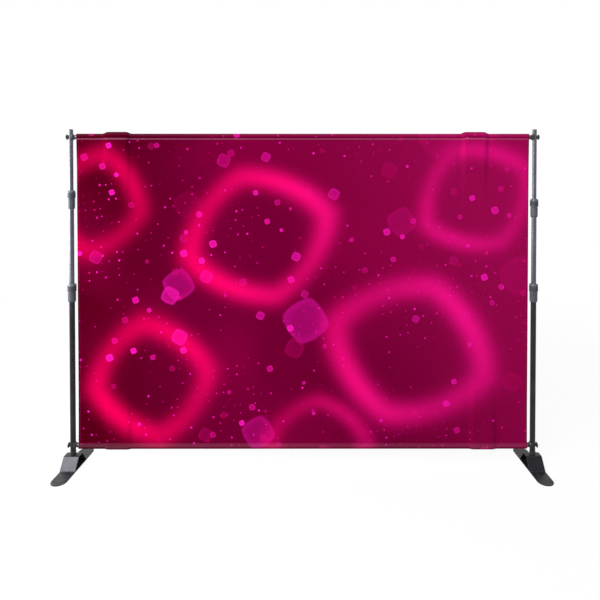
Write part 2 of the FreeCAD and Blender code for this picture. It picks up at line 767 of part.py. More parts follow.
def check():
    """Stop if any object of the document failed, or any piece has no sound solid."""
    for thing in doc.Objects:
        if "Invalid" in thing.State or "Error" in thing.State:
            raise RuntimeError("%s failed: %s" % (thing.Label, thing.State))
    for node in nodes:
        if node.Shape.isNull() or not node.Shape.isValid() or not node.Shape.Solids:
            raise RuntimeError("%s has no sound solid" % node.Label)


check()
os.makedirs("parts", exist_ok=True)
for node in nodes:
    node.Shape.exportStep("parts/%s.step" % node.Label)
print("%d pieces written" % len(nodes))
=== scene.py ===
import logging
import math
from dataclasses import dataclass, field
from enum import Enum
from typing import Callable, Iterable, Sequence

import bmesh
import bpy
from mathutils import Matrix, Vector


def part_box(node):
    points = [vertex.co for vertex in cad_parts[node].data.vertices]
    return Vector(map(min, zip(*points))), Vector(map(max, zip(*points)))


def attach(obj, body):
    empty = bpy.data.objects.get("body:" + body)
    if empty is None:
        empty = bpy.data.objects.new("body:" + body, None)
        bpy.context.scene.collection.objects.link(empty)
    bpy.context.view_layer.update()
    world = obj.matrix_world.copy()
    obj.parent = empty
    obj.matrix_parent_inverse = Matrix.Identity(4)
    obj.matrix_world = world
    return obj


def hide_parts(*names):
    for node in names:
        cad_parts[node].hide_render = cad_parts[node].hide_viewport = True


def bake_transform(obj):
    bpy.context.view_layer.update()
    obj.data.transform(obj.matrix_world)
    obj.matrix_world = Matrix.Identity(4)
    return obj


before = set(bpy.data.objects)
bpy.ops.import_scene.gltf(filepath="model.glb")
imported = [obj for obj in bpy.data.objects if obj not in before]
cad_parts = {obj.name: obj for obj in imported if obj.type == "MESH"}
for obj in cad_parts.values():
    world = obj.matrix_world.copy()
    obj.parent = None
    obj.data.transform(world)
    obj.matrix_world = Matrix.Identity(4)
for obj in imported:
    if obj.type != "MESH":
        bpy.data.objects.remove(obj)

log = logging.getLogger("banner_stand")

Point = tuple[float, float, float]
Colour = tuple[float, float, float]
Node = bpy.types.Node
Tree = bpy.types.NodeTree
Output = bpy.types.NodeSocket
Given = bpy.types.bpy_prop_collection
Socket = Output | float
Piece = bpy.types.Object

SIDES: dict[str, int] = {"left": -1, "right": 1}
# Metres: outer radii of the tubes from the widest, then the gaps of pieces that are pressed and that slide together.
TUBE_RADII = (0.0143, 0.0127, 0.0111)
SNUG = 0.0001
RUNNING = 0.0003
# Degrees: edges that bend by less are shaded smooth.
SMOOTH_BELOW = 35.0
RIGHT: Point = (1.0, 0.0, 0.0)
REAR: Point = (0.0, 1.0, 0.0)
UP: Point = (0.0, 0.0, 1.0)


class Level(Enum):
    """The two crossbars, with which way their pocket's seam lies from the bar."""

    TOP = -1
    BOTTOM = 1

    @property
    def word(self) -> str:
        """The crossbar's name in the model."""
        return self.name.lower()


def srgb(red: int, green: int, blue: int) -> Colour:
    """Turn a colour of 0 to 255 into the linear values that shaders take.

    Args:
        red: Red share.
        green: Green share.
        blue: Blue share.

    Returns:
        The same colour, linear.
    """
    def linear(part: int) -> float:
        """One channel, linear."""
        share = part / 255
        return share / 12.92 if share <= 0.04045 else ((share + 0.055) / 1.055) ** 2.4

    return linear(red), linear(green), linear(blue)


class Graph:
    """Adds nodes to one node tree and links them."""

    def __init__(self, tree: Tree) -> None:
        """Keep the tree that gets the nodes."""
        self.tree = tree

    def node(self, kind: str, **settings: object) -> Node:
        """Add a node.

        Args:
            kind: Blender's type name of the node.
            settings: Properties to set on it.

        Returns:
            The new node.
        """
        made = self.tree.nodes.new(kind)
        for name, value in settings.items():
            setattr(made, name, value)
        return made

    def feed(self, socket: Output, source: object) -> None:
        """Link a socket to another, or set its own value.

        Args:
            socket: The input to fill.
            source: A socket, a number, or a colour of three numbers.
        """
        if isinstance(source, Output):
            self.tree.links.new(source, socket)
        elif isinstance(source, tuple) and socket.type == "RGBA":
            socket.default_value = (*source, 1.0)
        else:
            socket.default_value = source

    def maths(self, operation: str, first: Socket, second: Socket = 0.0, third: Socket = 0.0) -> Output:
        """Work on numbers.

        Args:
            operation: The Math node's operation.
            first: First number.
            second: Second number.
            third: Third number.

        Returns:
            The result.
        """
        made = self.node("ShaderNodeMath", operation=operation)
        for socket, source in zip(made.inputs, (first, second, third)):
            self.feed(socket, source)
        return made.outputs[0]

    def product(self, first: Socket, *others: Socket) -> Output:
        """Multiply numbers.

        Args:
            first: First number.
            others: The numbers that follow.

        Returns:
            The product.
        """
        for other in others:
            first = self.maths("MULTIPLY", first, other)
        return first

    def step(self, value: Socket, low: float, high: float) -> Output:
        """A smooth rise from 0 to 1.

        Args:
            value: The number that rises.
            low: Where the rise starts.
            high: Where it is complete, which may be the lower of the two.

        Returns:
            The share risen.
        """
        made = self.node("ShaderNodeMapRange", interpolation_type="SMOOTHSTEP")
        self.feed(made.inputs["Value"], value)
        made.inputs["From Min"].default_value = low
        made.inputs["From Max"].default_value = high
        return made.outputs["Result"]

    def split(self, vector: Output) -> Given:
        """The X, Y and Z of a vector.

        Args:
            vector: What is split.

        Returns:
            The three outputs, by name.
        """
        made = self.node("ShaderNodeSeparateXYZ")
        self.feed(made.inputs[0], vector)
        return made.outputs

    def mix(self, share: Socket, first: object, second: object, blend: str = "MIX") -> Output:
        """Mix two colours.

        Args:
            share: How much of the second.
            first: First colour.
            second: Second colour.
            blend: The Mix node's blend type.

        Returns:
            The mixed colour.
        """
        made = self.node("ShaderNodeMix", data_type="RGBA", blend_type=blend)
        self.feed(made.inputs[0], share)
        self.feed(made.inputs[6], first)
        self.feed(made.inputs[7], second)
        return made.outputs[2]

    def noise(self, place: Output, scale: Socket, detail: float = 4.0) -> Output:
        """Soft noise over the surface.

        Args:
            place: Coordinates.
            scale: Waves in a metre.
            detail: Octaves.

        Returns:
            A number about 0.5.
        """
        made = self.node("ShaderNodeTexNoise")
        self.feed(made.inputs["Vector"], place)
        self.feed(made.inputs["Scale"], scale)
        made.inputs["Detail"].default_value = detail
        return made.outputs["Fac"]

    def group(self, tree: Tree, **inputs: object) -> Node:
        """Place a shader group.

        Args:
            tree: The group.
            inputs: Its inputs by name, underscores for spaces.

        Returns:
            The group's node.
        """
        made = self.node("ShaderNodeGroup", node_tree=tree)
        for name, source in inputs.items():
            self.feed(made.inputs[name.replace("_", " ")], source)
        return made


@dataclass(frozen=True)
class Port:
    """An input or output of a shader group."""

    name: str
    kind: str = "NodeSocketFloat"
    value: object = None


def new_group(name: str, ports_in: Sequence[Port], ports_out: Sequence[Port],
              fill: Callable[[Graph, Given], dict[str, Socket]]) -> Tree:
    """Make a shader group.

    Args:
        name: The group's name.
        ports_in: Its inputs.
        ports_out: Its outputs.
        fill: Makes the nodes, given the graph and the inputs, and returns the outputs by name.

    Returns:
        The group.
    """
    tree = bpy.data.node_groups.new(name, "ShaderNodeTree")
    for port in ports_in:
        socket = tree.interface.new_socket(name=port.name, in_out="INPUT", socket_type=port.kind)
        if port.value is not None:
            socket.default_value = port.value
    for port in ports_out:
        tree.interface.new_socket(name=port.name, in_out="OUTPUT", socket_type=port.kind)
    graph = Graph(tree)
    start = graph.node("NodeGroupInput")
    end = graph.node("NodeGroupOutput")
    for port_name, source in fill(graph, start.outputs).items():
        graph.feed(end.inputs[port_name], source)
    return tree


VECTOR = "NodeSocketVector"


class Effects:
    """The shader groups that the finishes use, each built once."""

    def __init__(self) -> None:
        """Build the groups."""
        place = Port("Place", VECTOR)
        mask, surface = [Port("Mask")], [Port("Height"), Port("Tone")]
        self.grain = new_group("Grain", [place, Port("Scale", value=900.0)], surface, self._grain)
        self.weave = new_group("Weave", [place, Port("Threads", value=5200.0)], surface, self._weave)
        self.handling = new_group("Handling marks", [place, Port("Amount", value=0.3)], mask, self._handling)
        self.dust = new_group(
            "Dust", [place, Port("Facing", VECTOR), Port("Amount", value=0.2)], mask, self._dust)
        self.loop = new_group(
            "Glowing loop", [Port("Across"), Port("Up"), Port("Turn"), Port("Half width", value=0.3),
                             Port("Half height", value=0.3), Port("Stroke", value=0.08)], mask, self._loop)
        self.lozenges = new_group(
            "Lozenges", [place, Port("Scale", value=4.0), Port("Size", value=0.3), Port("Kept", value=0.5)],
            [Port("Mask"), Port("Tone")], self._lozenges)

    @staticmethod
    def _grain(graph: Graph, given: Given) -> dict[str, Socket]:
        """Fine orange-peel of paint or moulded plastic."""
        fine = graph.noise(given["Place"], given["Scale"], 2.0)
        broad = graph.noise(given["Place"], 9.0, 3.0)
        return {"Height": fine, "Tone": graph.step(broad, 0.3, 0.7)}

    @staticmethod
    def _handling(graph: Graph, given: Given) -> dict[str, Socket]:
        """Scuffs in patches, finer inside each patch."""
        patch = graph.step(graph.noise(given["Place"], 14.0, 4.0), 0.52, 0.7)
        scratch = graph.step(graph.noise(given["Place"], 260.0, 5.0), 0.5, 0.62)
        return {"Mask": graph.product(patch, scratch, given["Amount"])}

    @staticmethod
    def _dust(graph: Graph, given: Given) -> dict[str, Socket]:
        """Dust that settles on what faces up."""
        up = graph.step(graph.split(given["Facing"])["Z"], 0.5, 1.0)
        patch = graph.step(graph.noise(given["Place"], 40.0, 5.0), 0.35, 0.65)
        return {"Mask": graph.product(up, patch, given["Amount"])}

    @staticmethod
    def _weave(graph: Graph, given: Given) -> dict[str, Socket]:
        """Crossing threads of a plain knit or weave, in metres of the cut cloth."""
        parts = graph.split(given["Place"])
        waves = [graph.maths("SINE", graph.product(parts[axis], given["Threads"])) for axis in ("X", "Y")]
        height = graph.maths("MULTIPLY_ADD", graph.product(*waves), 0.5, 0.5)
        slub = graph.noise(given["Place"], 55.0, 3.0)
        return {"Height": height, "Tone": graph.step(slub, 0.3, 0.7)}

    @staticmethod
    def _loop(graph: Graph, given: Given) -> dict[str, Socket]:
        """A blurred outline of a rounded diamond, brighter on some sides than on others."""
        across, up, turn = (given[name] for name in ("Across", "Up", "Turn"))
        cosine, sine = graph.maths("COSINE", turn), graph.maths("SINE", turn)
        along = graph.maths("ADD", graph.product(across, cosine), graph.product(up, sine))
        over = graph.maths("SUBTRACT", graph.product(up, cosine), graph.product(across, sine))
        power = 1.5
        parts = [graph.maths("POWER", graph.maths("ABSOLUTE", graph.maths("DIVIDE", part, given[size])), power)
                 for part, size in ((along, "Half width"), (over, "Half height"))]
        reach = graph.maths("POWER", graph.maths("ADD", *parts), 1 / power)
        away = graph.product(graph.maths("SUBTRACT", reach, 1.0), given["Half width"])
        share = graph.maths("DIVIDE", away, given["Stroke"])
        glow = graph.maths("EXPONENT", graph.product(share, share, -1.4))
        bearing = graph.maths("ARCTAN2", over, along)
        slow = graph.maths("MULTIPLY_ADD", graph.maths("SINE", graph.maths("MULTIPLY_ADD", bearing, 2.0, turn)),
                           0.22, 0.78)
        return {"Mask": graph.product(glow, slow)}

    @staticmethod
    def _lozenges(graph: Graph, given: Given) -> dict[str, Socket]:
        """Rounded diamonds, one at most in each cell, in clumps, of mixed sizes and strengths."""
        cells = graph.node("ShaderNodeTexVoronoi", voronoi_dimensions="2D", distance="MINKOWSKI")
        graph.feed(cells.inputs["Vector"], given["Place"])
        graph.feed(cells.inputs["Scale"], given["Scale"])
        cells.inputs["Exponent"].default_value = 1.4
        cells.inputs["Randomness"].default_value = 0.55
        chance = graph.node("ShaderNodeSeparateColor")
        graph.feed(chance.inputs[0], cells.outputs["Color"])
        size = graph.product(given["Size"], graph.maths("MULTIPLY_ADD", chance.outputs[0], 0.65, 0.35))
        share = graph.maths("DIVIDE", cells.outputs["Distance"], size)
        body = graph.step(share, 1.0, 0.86)
        rim = graph.maths("MULTIPLY_ADD", graph.step(share, 0.5, 0.9), 0.3, 0.7)
        clump = graph.step(graph.noise(cells.outputs["Position"], 1.9, 1.0), 0.36, 0.62)
        kept = graph.maths("LESS_THAN", chance.outputs[1], graph.product(given["Kept"], clump))
        strength = graph.maths("MULTIPLY_ADD", chance.outputs[2], 0.75, 0.25)
        return {"Mask": graph.product(body, rim, kept, strength), "Tone": chance.outputs[2]}


class Finish:
    """A finish: it makes one material, once."""

    name = "finish"

    def __init__(self, effects: Effects) -> None:
        """Make the material.

        Args:
            effects: The shared shader groups.
        """
        self.effects = effects
        self.material = bpy.data.materials.new(self.name)
        self.material.use_nodes = True
        self.graph = Graph(self.material.node_tree)
        self.shader = self.material.node_tree.nodes["Principled BSDF"]
        self.place = self.graph.node("ShaderNodeTexCoord")
        self.facing = self.graph.node("ShaderNodeNewGeometry")
        self.build()

    def build(self) -> None:
        """Make the nodes of this finish."""
        raise NotImplementedError

    def set(self, **values: object) -> None:
        """Feed the shader's inputs, given by name with underscores for spaces."""
        for name, source in values.items():
            self.graph.feed(self.shader.inputs[name.replace("_", " ")], source)

    def bump(self, height: Output, distance: float, strength: float = 1.0) -> Output:
        """Turn a height into a bent normal.

        Args:
            height: The height, 0 to 1.
            distance: Metres that a height of 1 stands for.
            strength: Share of the effect.

        Returns:
            The normal.
        """
        made = self.graph.node("ShaderNodeBump")
        made.inputs["Strength"].default_value = strength
        made.inputs["Distance"].default_value = distance
        self.graph.feed(made.inputs["Height"], height)
        return made.outputs["Normal"]

    def dress(self, *objects: Piece) -> None:
        """Give the material to objects.

        Args:
            objects: Meshes that take it on every face.
        """
        for thing in objects:
            if thing.material_slots:
                for slot in thing.material_slots:
                    slot.material = self.material
            else:
                thing.data.materials.append(self.material)


@dataclass(frozen=True)
class Coat:
    """The look of a hard finish."""

    dark: Colour
    light: Colour
    scuffed: Colour
    rough: float
    specular: float
    grain_scale: float
    rough_scuffed: float = 0.5
    metallic: float = 0.1
    coat: float = 0.05
    grain_depth: float = 0.00003
    scuffs: float = 0.25
    dust: float = 0.06


class HardFinish(Finish):
    """Paint, plastic or plate with grain, scuffs and dust."""

    coat: Coat
    uneven = 0.06
    dust_colour = srgb(150, 146, 140)
    dust_rough = 0.25
    clear_rough = 0.25

    def build(self) -> None:
        """Make the nodes of this finish."""
        graph, coat = self.graph, self.coat
        place = self.place.outputs["Object"]
        grain = graph.group(self.effects.grain, Place=place, Scale=coat.grain_scale)
        marks = graph.group(self.effects.handling, Place=place, Amount=coat.scuffs)
        dust = graph.group(self.effects.dust, Place=place, Facing=self.facing.outputs["Normal"], Amount=coat.dust)
        colour = graph.mix(grain.outputs["Tone"], coat.dark, coat.light)
        colour = graph.mix(marks.outputs["Mask"], colour, coat.scuffed)
        colour = graph.mix(dust.outputs["Mask"], colour, self.dust_colour)
        tone = graph.maths("MULTIPLY_ADD", grain.outputs["Tone"], self.uneven, coat.rough - self.uneven / 2)
        rough = graph.maths("MULTIPLY_ADD", marks.outputs["Mask"], coat.rough_scuffed - coat.rough, tone)
        rough = graph.maths("MULTIPLY_ADD", dust.outputs["Mask"], self.dust_rough, rough)
        self.set(Base_Color=colour, Roughness=rough, Metallic=coat.metallic, Specular_IOR_Level=coat.specular,
                 Coat_Weight=coat.coat, Coat_Roughness=self.clear_rough,
                 Normal=self.bump(grain.outputs["Height"], coat.grain_depth))


class TubePaint(HardFinish):
    """Anthracite powder coat of the outer tubes, satin with a metallic glint."""

    name = "Tube paint"
    coat = Coat(dark=srgb(28, 28, 30), light=srgb(35, 35, 38), scuffed=srgb(84, 84, 88), rough=0.3,
                rough_scuffed=0.44, metallic=0.55, specular=0.3, grain_scale=1400.0, grain_depth=0.00002, scuffs=0.3)


class SlidingTubePaint(HardFinish):
    """The same paint on the tubes that slide, painted lighter and more metallic as a lit copy of the tube paint:
    painted highlight.
    """

    name = "Rubbed tube paint"
    coat = Coat(dark=srgb(75, 76, 84), light=srgb(85, 86, 95), scuffed=srgb(126, 127, 136), rough=0.27,
                rough_scuffed=0.42, metallic=0.8, specular=0.4, grain_scale=1400.0, grain_depth=0.00002, scuffs=0.35,
                dust=0.05)


class FootPaint(HardFinish):
    """Powder coat of the feet, a little greyer and duller."""

    name = "Foot paint"
    coat = Coat(dark=srgb(19, 19, 26), light=srgb(25, 25, 33), scuffed=srgb(78, 79, 92), rough=0.34,
                rough_scuffed=0.46, metallic=0.4, specular=0.25, grain_scale=1100.0)


class CouplingPlastic(HardFinish):
    """Moulded plastic of the couplings' collars."""

    name = "Coupling plastic"
    coat = Coat(dark=srgb(58, 60, 68), light=srgb(66, 68, 77), scuffed=srgb(104, 106, 116), rough=0.4, specular=0.38,
                grain_scale=2200.0, dust=0.08)


class NutPlastic(HardFinish):
    """The same plastic on the twist nuts, painted lighter as a lit copy of the collars' plastic: painted light where
    the nuts should catch the lamps.
    """

    name = "Twist nut plastic"
    coat = Coat(dark=srgb(76, 78, 88), light=srgb(86, 88, 99), scuffed=srgb(118, 120, 130), rough=0.38,
                specular=0.42, grain_scale=2200.0, dust=0.08)


class BlackPlastic(HardFinish):
    """Glossier moulded plastic of the knobs, saddles, caps, plugs, guides and joiners."""

    name = "Black plastic"
    coat = Coat(dark=srgb(20, 20, 22), light=srgb(27, 27, 30), scuffed=srgb(76, 76, 82), rough=0.34,
                rough_scuffed=0.48, metallic=0.0, specular=0.35, coat=0.1, grain_scale=2600.0, grain_depth=0.00002)


class ZincPlate(HardFinish):
    """Zinc plate of the bolts and studs."""

    name = "Zinc plate"
    coat = Coat(dark=srgb(168, 170, 168), light=srgb(190, 190, 184), scuffed=srgb(120, 118, 112), rough=0.3,
                metallic=1.0, specular=0.5, coat=0.0, grain_scale=3000.0, grain_depth=0.00001, scuffs=0.5, dust=0.1)


@dataclass(frozen=True)
class Loop:
    """One glowing loop of the print: its middle, its sizes, its turn and its strength, in metres of the cut cloth."""

    across: float
    up: float
    half_width: float
    half_height: float
    turn: float
    stroke: float
    strength: float


@dataclass(frozen=True)
class Fade:
    """A soft band painted along a pocket's seam, pale as painted sheen or dark as painted shade: from which seam it
    is measured, how far, its half width and its strength.
    """

    seam: int
    offset: float
    half_width: float
    strength: float


@dataclass(frozen=True)
class Scatter:
    """One layer of lozenges of the print."""

    scale: float
    size: float
    kept: float
    strength: float
    shift: float
    turn: float


class PrintedCloth(Finish):
    """Stretch polyester with a generic print of glowing loops and lozenges, stitched pockets and hems, and painted
    sheen and painted shade in bands along the pockets.
    """

    name = "Printed cloth"
    width = 2.438
    hem = 0.010
    stitch_rows = (-0.0032, 0.0004)
    stitch_length = 0.0035
    thread_edge = (0.0007, 0.0004)
    dip_edge = (0.004, 0.001)
    ground_colours = (srgb(62, 0, 14), srgb(92, 0, 39), srgb(140, 8, 69), srgb(132, 2, 60))
    loop_colours = (srgb(206, 0, 74), srgb(222, 14, 122))
    lozenge_colours = (srgb(200, 6, 96), srgb(240, 24, 176))
    stretched_colour = srgb(214, 176, 200)
    rubbed_colour = srgb(20, 0, 8)
    thread_colour = srgb(132, 30, 82)
    seams: tuple[float, float] = (0.0, 0.0)
    loops = (
        Loop(0.98, 1.24, 0.38, 0.33, 0.3, 0.085, 0.92),
        Loop(1.80, 0.62, 0.42, 0.36, -0.35, 0.10, 0.85),
        Loop(0.40, 0.46, 0.30, 0.30, 0.15, 0.08, 0.8),
        Loop(2.16, 1.45, 0.30, 0.27, 0.5, 0.07, 0.6),
        Loop(0.10, 1.42, 0.24, 0.26, -0.2, 0.07, 0.55),
        Loop(1.30, 0.12, 0.26, 0.22, 0.0, 0.07, 0.5),
    )
    # Painted sheen: pale bands that stand in for the satin's highlight on the front of the lower pocket and on the
    # top of the upper pocket, and a thin light line just above the upper seam.
    fades = (
        Fade(0, -0.013, 0.018, 0.036),
        Fade(1, 0.0005, 0.0055, 0.12),
        Fade(1, 0.032, 0.020, 0.026),
    )
    # Painted shade: dark bands that stand in for the shade under the lower pocket and in the crease just above the
    # upper seam.
    rubs = (
        Fade(0, -0.028, 0.008, 0.4),
        Fade(1, 0.0085, 0.006, 0.42),
    )
    scatters = (
        Scatter(1.75, 0.24, 0.75, 0.3, 0.4, 0.2),
        Scatter(3.7, 0.23, 0.65, 0.5, 3.7, -0.3),
        Scatter(8.5, 0.21, 0.5, 0.8, 9.1, 0.45),
        Scatter(24.0, 0.17, 0.45, 0.9, 5.3, -0.15),
    )

    def build(self) -> None:
        """Make the nodes of this finish."""
        graph = self.graph
        cut = self.place.outputs["UV"]
        parts = graph.split(cut)
        across, up = parts["X"], parts["Y"]
        colour = self._ground(across, up)
        warm = graph.mix(graph.step(across, 0.2, 2.2), *self.loop_colours)
        for loop in self.loops:
            made = graph.group(self.effects.loop, Across=graph.maths("SUBTRACT", across, loop.across),
                               Up=graph.maths("SUBTRACT", up, loop.up), Turn=loop.turn,
                               Half_width=loop.half_width, Half_height=loop.half_height, Stroke=loop.stroke)
            colour = graph.mix(graph.product(made.outputs["Mask"], loop.strength), colour, warm)
        for layer in self.scatters:
            moved = graph.node("ShaderNodeMapping")
            graph.feed(moved.inputs["Vector"], cut)
            moved.inputs["Location"].default_value = (layer.shift, layer.shift * 0.61, 0.0)
            moved.inputs["Rotation"].default_value = (0.0, 0.0, layer.turn)
            shapes = graph.group(self.effects.lozenges, Place=moved.outputs[0], Scale=layer.scale, Size=layer.size,
                                 Kept=layer.kept)
            share = graph.product(shapes.outputs["Mask"], layer.strength)
            tint = graph.mix(shapes.outputs["Tone"], *self.lozenge_colours)
            colour = graph.mix(share, colour, tint)
        weave = graph.group(self.effects.weave, Place=cut)
        stitch = self._stitches(across, up)
        colour = graph.mix(graph.product(weave.outputs["Tone"], 0.06), colour, (0.0, 0.0, 0.0))
        # Painted sheen: pale bands along the pockets.
        colour = graph.mix(self._banded(up, self.fades), colour, self.stretched_colour)
        # Painted shade: dark bands under the lower pocket and above the upper seam.
        colour = graph.mix(self._banded(up, self.rubs), colour, self.rubbed_colour)
        colour = graph.mix(stitch["thread"], colour, self.thread_colour)
        height = graph.maths("MULTIPLY_ADD", stitch["thread"], 3.0, weave.outputs["Height"])
        height = graph.maths("SUBTRACT", height, graph.product(stitch["dip"], 2.0))
        rough = graph.maths("MULTIPLY_ADD", weave.outputs["Tone"], 0.08, 0.68)
        self.set(Base_Color=colour, Roughness=rough, Specular_IOR_Level=0.0,
                 Normal=self.bump(height, 0.00008, 0.5))

    def _banded(self, up: Output, bands: Sequence[Fade]) -> Output:
        """Soft level bands along the pockets, pale ones of painted sheen and dark ones of painted shade.

        Args:
            up: Metres from the lower edge.
            bands: The bands.

        Returns:
            The mask.
        """
        graph = self.graph
        mask: Socket = 0.0
        for band in bands:
            level = self.seams[band.seam] + band.offset
            away = graph.maths("ABSOLUTE", graph.maths("SUBTRACT", up, level))
            share = graph.product(graph.step(away, band.half_width, 0.0), band.strength)
            mask = graph.maths("MAXIMUM", mask, share)
        return mask

    def _ground(self, across: Output, up: Output) -> Output:
        """The print's ground: maroon on the left, plum in the middle, magenta on the right.

        Args:
            across: Metres from the left edge.
            up: Metres from the lower edge.

        Returns:
            The colour.
        """
        graph = self.graph
        left, middle, right, clouded = self.ground_colours
        colour = graph.mix(graph.step(across, 0.0, 0.9), left, middle)
        lean = graph.maths("MULTIPLY_ADD", up, 0.45, across)
        colour = graph.mix(graph.step(lean, 1.5, 3.2), colour, right)
        cloud = graph.step(graph.noise(self.place.outputs["UV"], 1.3, 1.0), 0.42, 0.72)
        return graph.mix(graph.product(cloud, 0.3), colour, clouded)

    def _stitches(self, across: Output, up: Output) -> dict[str, Output]:
        """Two rows of stitches along each pocket's seam, and one along each side hem.

        Args:
            across: Metres from the left edge.
            up: Metres from the lower edge.

        Returns:
            The thread's mask and the mask of the dip that a seam pulls.
        """
        graph = self.graph
        thread: Socket = 0.0
        dip: Socket = 0.0
        rows = [(up, across, seam + row) for seam in self.seams for row in self.stitch_rows]
        rows += [(across, up, self.hem), (across, up, self.width - self.hem)]
        for over, along, place in rows:
            wave = graph.maths("SINE", graph.product(along, 2 * math.pi / self.stitch_length))
            away = graph.maths("ABSOLUTE", graph.maths("SUBTRACT", over, place))
            row = graph.product(graph.step(away, *self.thread_edge), graph.step(wave, -0.5, -0.1))
            thread = graph.maths("MAXIMUM", thread, row)
            dip = graph.maths("MAXIMUM", dip, graph.step(away, *self.dip_edge))
        return {"thread": thread, "dip": dip}


def in_scene(name: str, data: bpy.types.ID) -> Piece:
    """Make an object and link it to the scene.

    Args:
        name: Its name.
        data: Its mesh, lamp or camera.

    Returns:
        The object.
    """
    made = bpy.data.objects.new(name, data)
    bpy.context.scene.collection.objects.link(made)
    return made


def hand_over(piece: Piece, body: str, node: str) -> Piece:
    """Give a piece its place in the frame.

    Args:
        piece: The piece.
        body: The body that it moves with.
        node: The node that it replaces.

    Returns:
        The same piece.
    """
    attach(piece, body)
    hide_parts(node)
    return piece


def mesh_object(name: str, points: Sequence[Point], faces: Sequence[Sequence[int]],
                smooth_below: float = SMOOTH_BELOW, wound_alike: bool = False) -> Piece:
    """Make an object from points and faces.

    Args:
        name: Its name.
        points: Corner points, in metres.
        faces: Corners of each face.
        smooth_below: Angle in degrees under which edges are shaded smooth.
        wound_alike: True if all faces are wound the same way round, in or out.

    Returns:
        The object, in the scene.
    """
    mesh = bpy.data.meshes.new(name)
    mesh.from_pydata([Vector(point) for point in points], [], [list(face) for face in faces])
    shaping = bmesh.new()
    shaping.from_mesh(mesh)
    if not wound_alike:
        bmesh.ops.recalc_face_normals(shaping, faces=shaping.faces)
    elif shaping.calc_volume(signed=True) < 0:
        bmesh.ops.reverse_faces(shaping, faces=shaping.faces)
    shaping.to_mesh(mesh)
    shaping.free()
    mesh.shade_smooth()
    mesh.set_sharp_from_angle(angle=math.radians(smooth_below))
    return in_scene(name, mesh)


def settle(piece: Piece) -> None:
    """Apply a piece's modifiers to its mesh.

    Args:
        piece: The piece, which keeps its name and materials.
    """
    seen = bpy.context.evaluated_depsgraph_get()
    done = bpy.data.meshes.new_from_object(piece.evaluated_get(seen))
    piece.modifiers.clear()
    piece.data = done


@dataclass(frozen=True)
class Station:
    """One ring of a turned piece: its radius, its height, and how much of the grip pattern shows there."""

    radius: float
    height: float
    grip: float = 0.0


def rounded_corner(before: tuple[float, float], corner: tuple[float, float], after: tuple[float, float],
                   radius: float, count: int = 5) -> list[tuple[float, float]]:
    """Points of a rounded corner of a profile.

    Args:
        before: The profile's point before the corner.
        corner: The corner, as radius and height.
        after: The point after it.
        radius: How far from the corner the rounding starts.
        count: Number of points.

    Returns:
        The points, from the first side to the second.
    """
    here = Vector(corner)
    first = here + (Vector(before) - here).normalized() * radius
    last = here + (Vector(after) - here).normalized() * radius
    points = []
    for index in range(count):
        share = index / (count - 1)
        bent = first.lerp(here, share).lerp(here.lerp(last, share), share)
        points.append((bent.x, bent.y))
    return points


def rounded_rings(corners: Sequence[tuple[float, ...]], count: int = 5) -> list[Station]:
    """The rings of a closed profile with rounded corners.

    Args:
        corners: Radius, height and rounding of each corner, in order, and its grip where it has one.
        count: Rings in a rounding.

    Returns:
        The rings of the profile.
    """
    stations: list[Station] = []
    for index, (radius, height, rounding, *grip) in enumerate(corners):
        points = [(radius, height)]
        if rounding:
            after = corners[(index + 1) % len(corners)]
            points = rounded_corner(corners[index - 1][:2], points[0], after[:2], rounding, count)
        stations += [Station(*point, *grip) for point in points]
    return stations


def rounded_profile(corners: Sequence[tuple[float, float, float]]) -> list[Station]:
    """A closed profile of corners (radius, height, rounding), its runs held straight."""
    return with_holding_rings(rounded_rings(corners))


def with_holding_rings(stations: Sequence[Station], hold: float = 0.0008) -> list[Station]:
    """Add a ring near both ends of each long run, so that the run itself is shaded straight.

    Args:
        stations: A closed profile.
        hold: Distance of the added rings from the ends.

    Returns:
        The profile with the added rings.
    """
    made: list[Station] = []
    for index, station in enumerate(stations):
        made.append(station)
        after = stations[(index + 1) % len(stations)]
        run = math.hypot(after.radius - station.radius, after.height - station.height)
        if run > 5 * hold:
            for share in (hold / run, 1 - hold / run):
                made.append(Station(station.radius + (after.radius - station.radius) * share,
                                    station.height + (after.height - station.height) * share))
    return made


@dataclass(frozen=True)
class Axis:
    """Where a turned piece stands: its foot, the way it points, and its sideways direction."""

    foot: Point
    along: Point
    side: Point

    def place(self, radius: float, angle: float, height: float) -> Vector:
        """A point by its radius, angle and height."""
        along, side = Vector(self.along), Vector(self.side)
        other = along.cross(side)
        return (Vector(self.foot) + along * height
                + side * (radius * math.cos(angle)) + other * (radius * math.sin(angle)))


def strip(start: int, following: int, count: int) -> list[tuple[int, ...]]:
    """Faces between two closed rings of count points, given the number of each ring's first point."""
    return [(start + index, start + (index + 1) % count, following + (index + 1) % count, following + index)
            for index in range(count)]


def turned(name: str, axis: Axis, stations: Sequence[Station], segments: int,
           shape: Callable[[float, Station], float] | None = None, smooth_below: float = SMOOTH_BELOW) -> Piece:
    """Make a ring-shaped piece by turning a closed profile.

    Args:
        name: The piece's name.
        axis: Where it stands.
        stations: The closed profile's rings.
        segments: Points in a ring.
        shape: Changes a ring's radius by angle, if given.
        smooth_below: Angle in degrees under which edges are shaded smooth.

    Returns:
        The piece.
    """
    points: list[Point] = []
    for station in stations:
        for index in range(segments):
            angle = 2 * math.pi * index / segments
            radius = shape(angle, station) if shape else station.radius
            points.append(tuple(axis.place(radius, angle, station.height)))
    rings = len(stations)
    faces = [face for ring in range(rings)
             for face in strip(ring * segments, (ring + 1) % rings * segments, segments)]
    return mesh_object(name, points, faces, smooth_below, wound_alike=True)


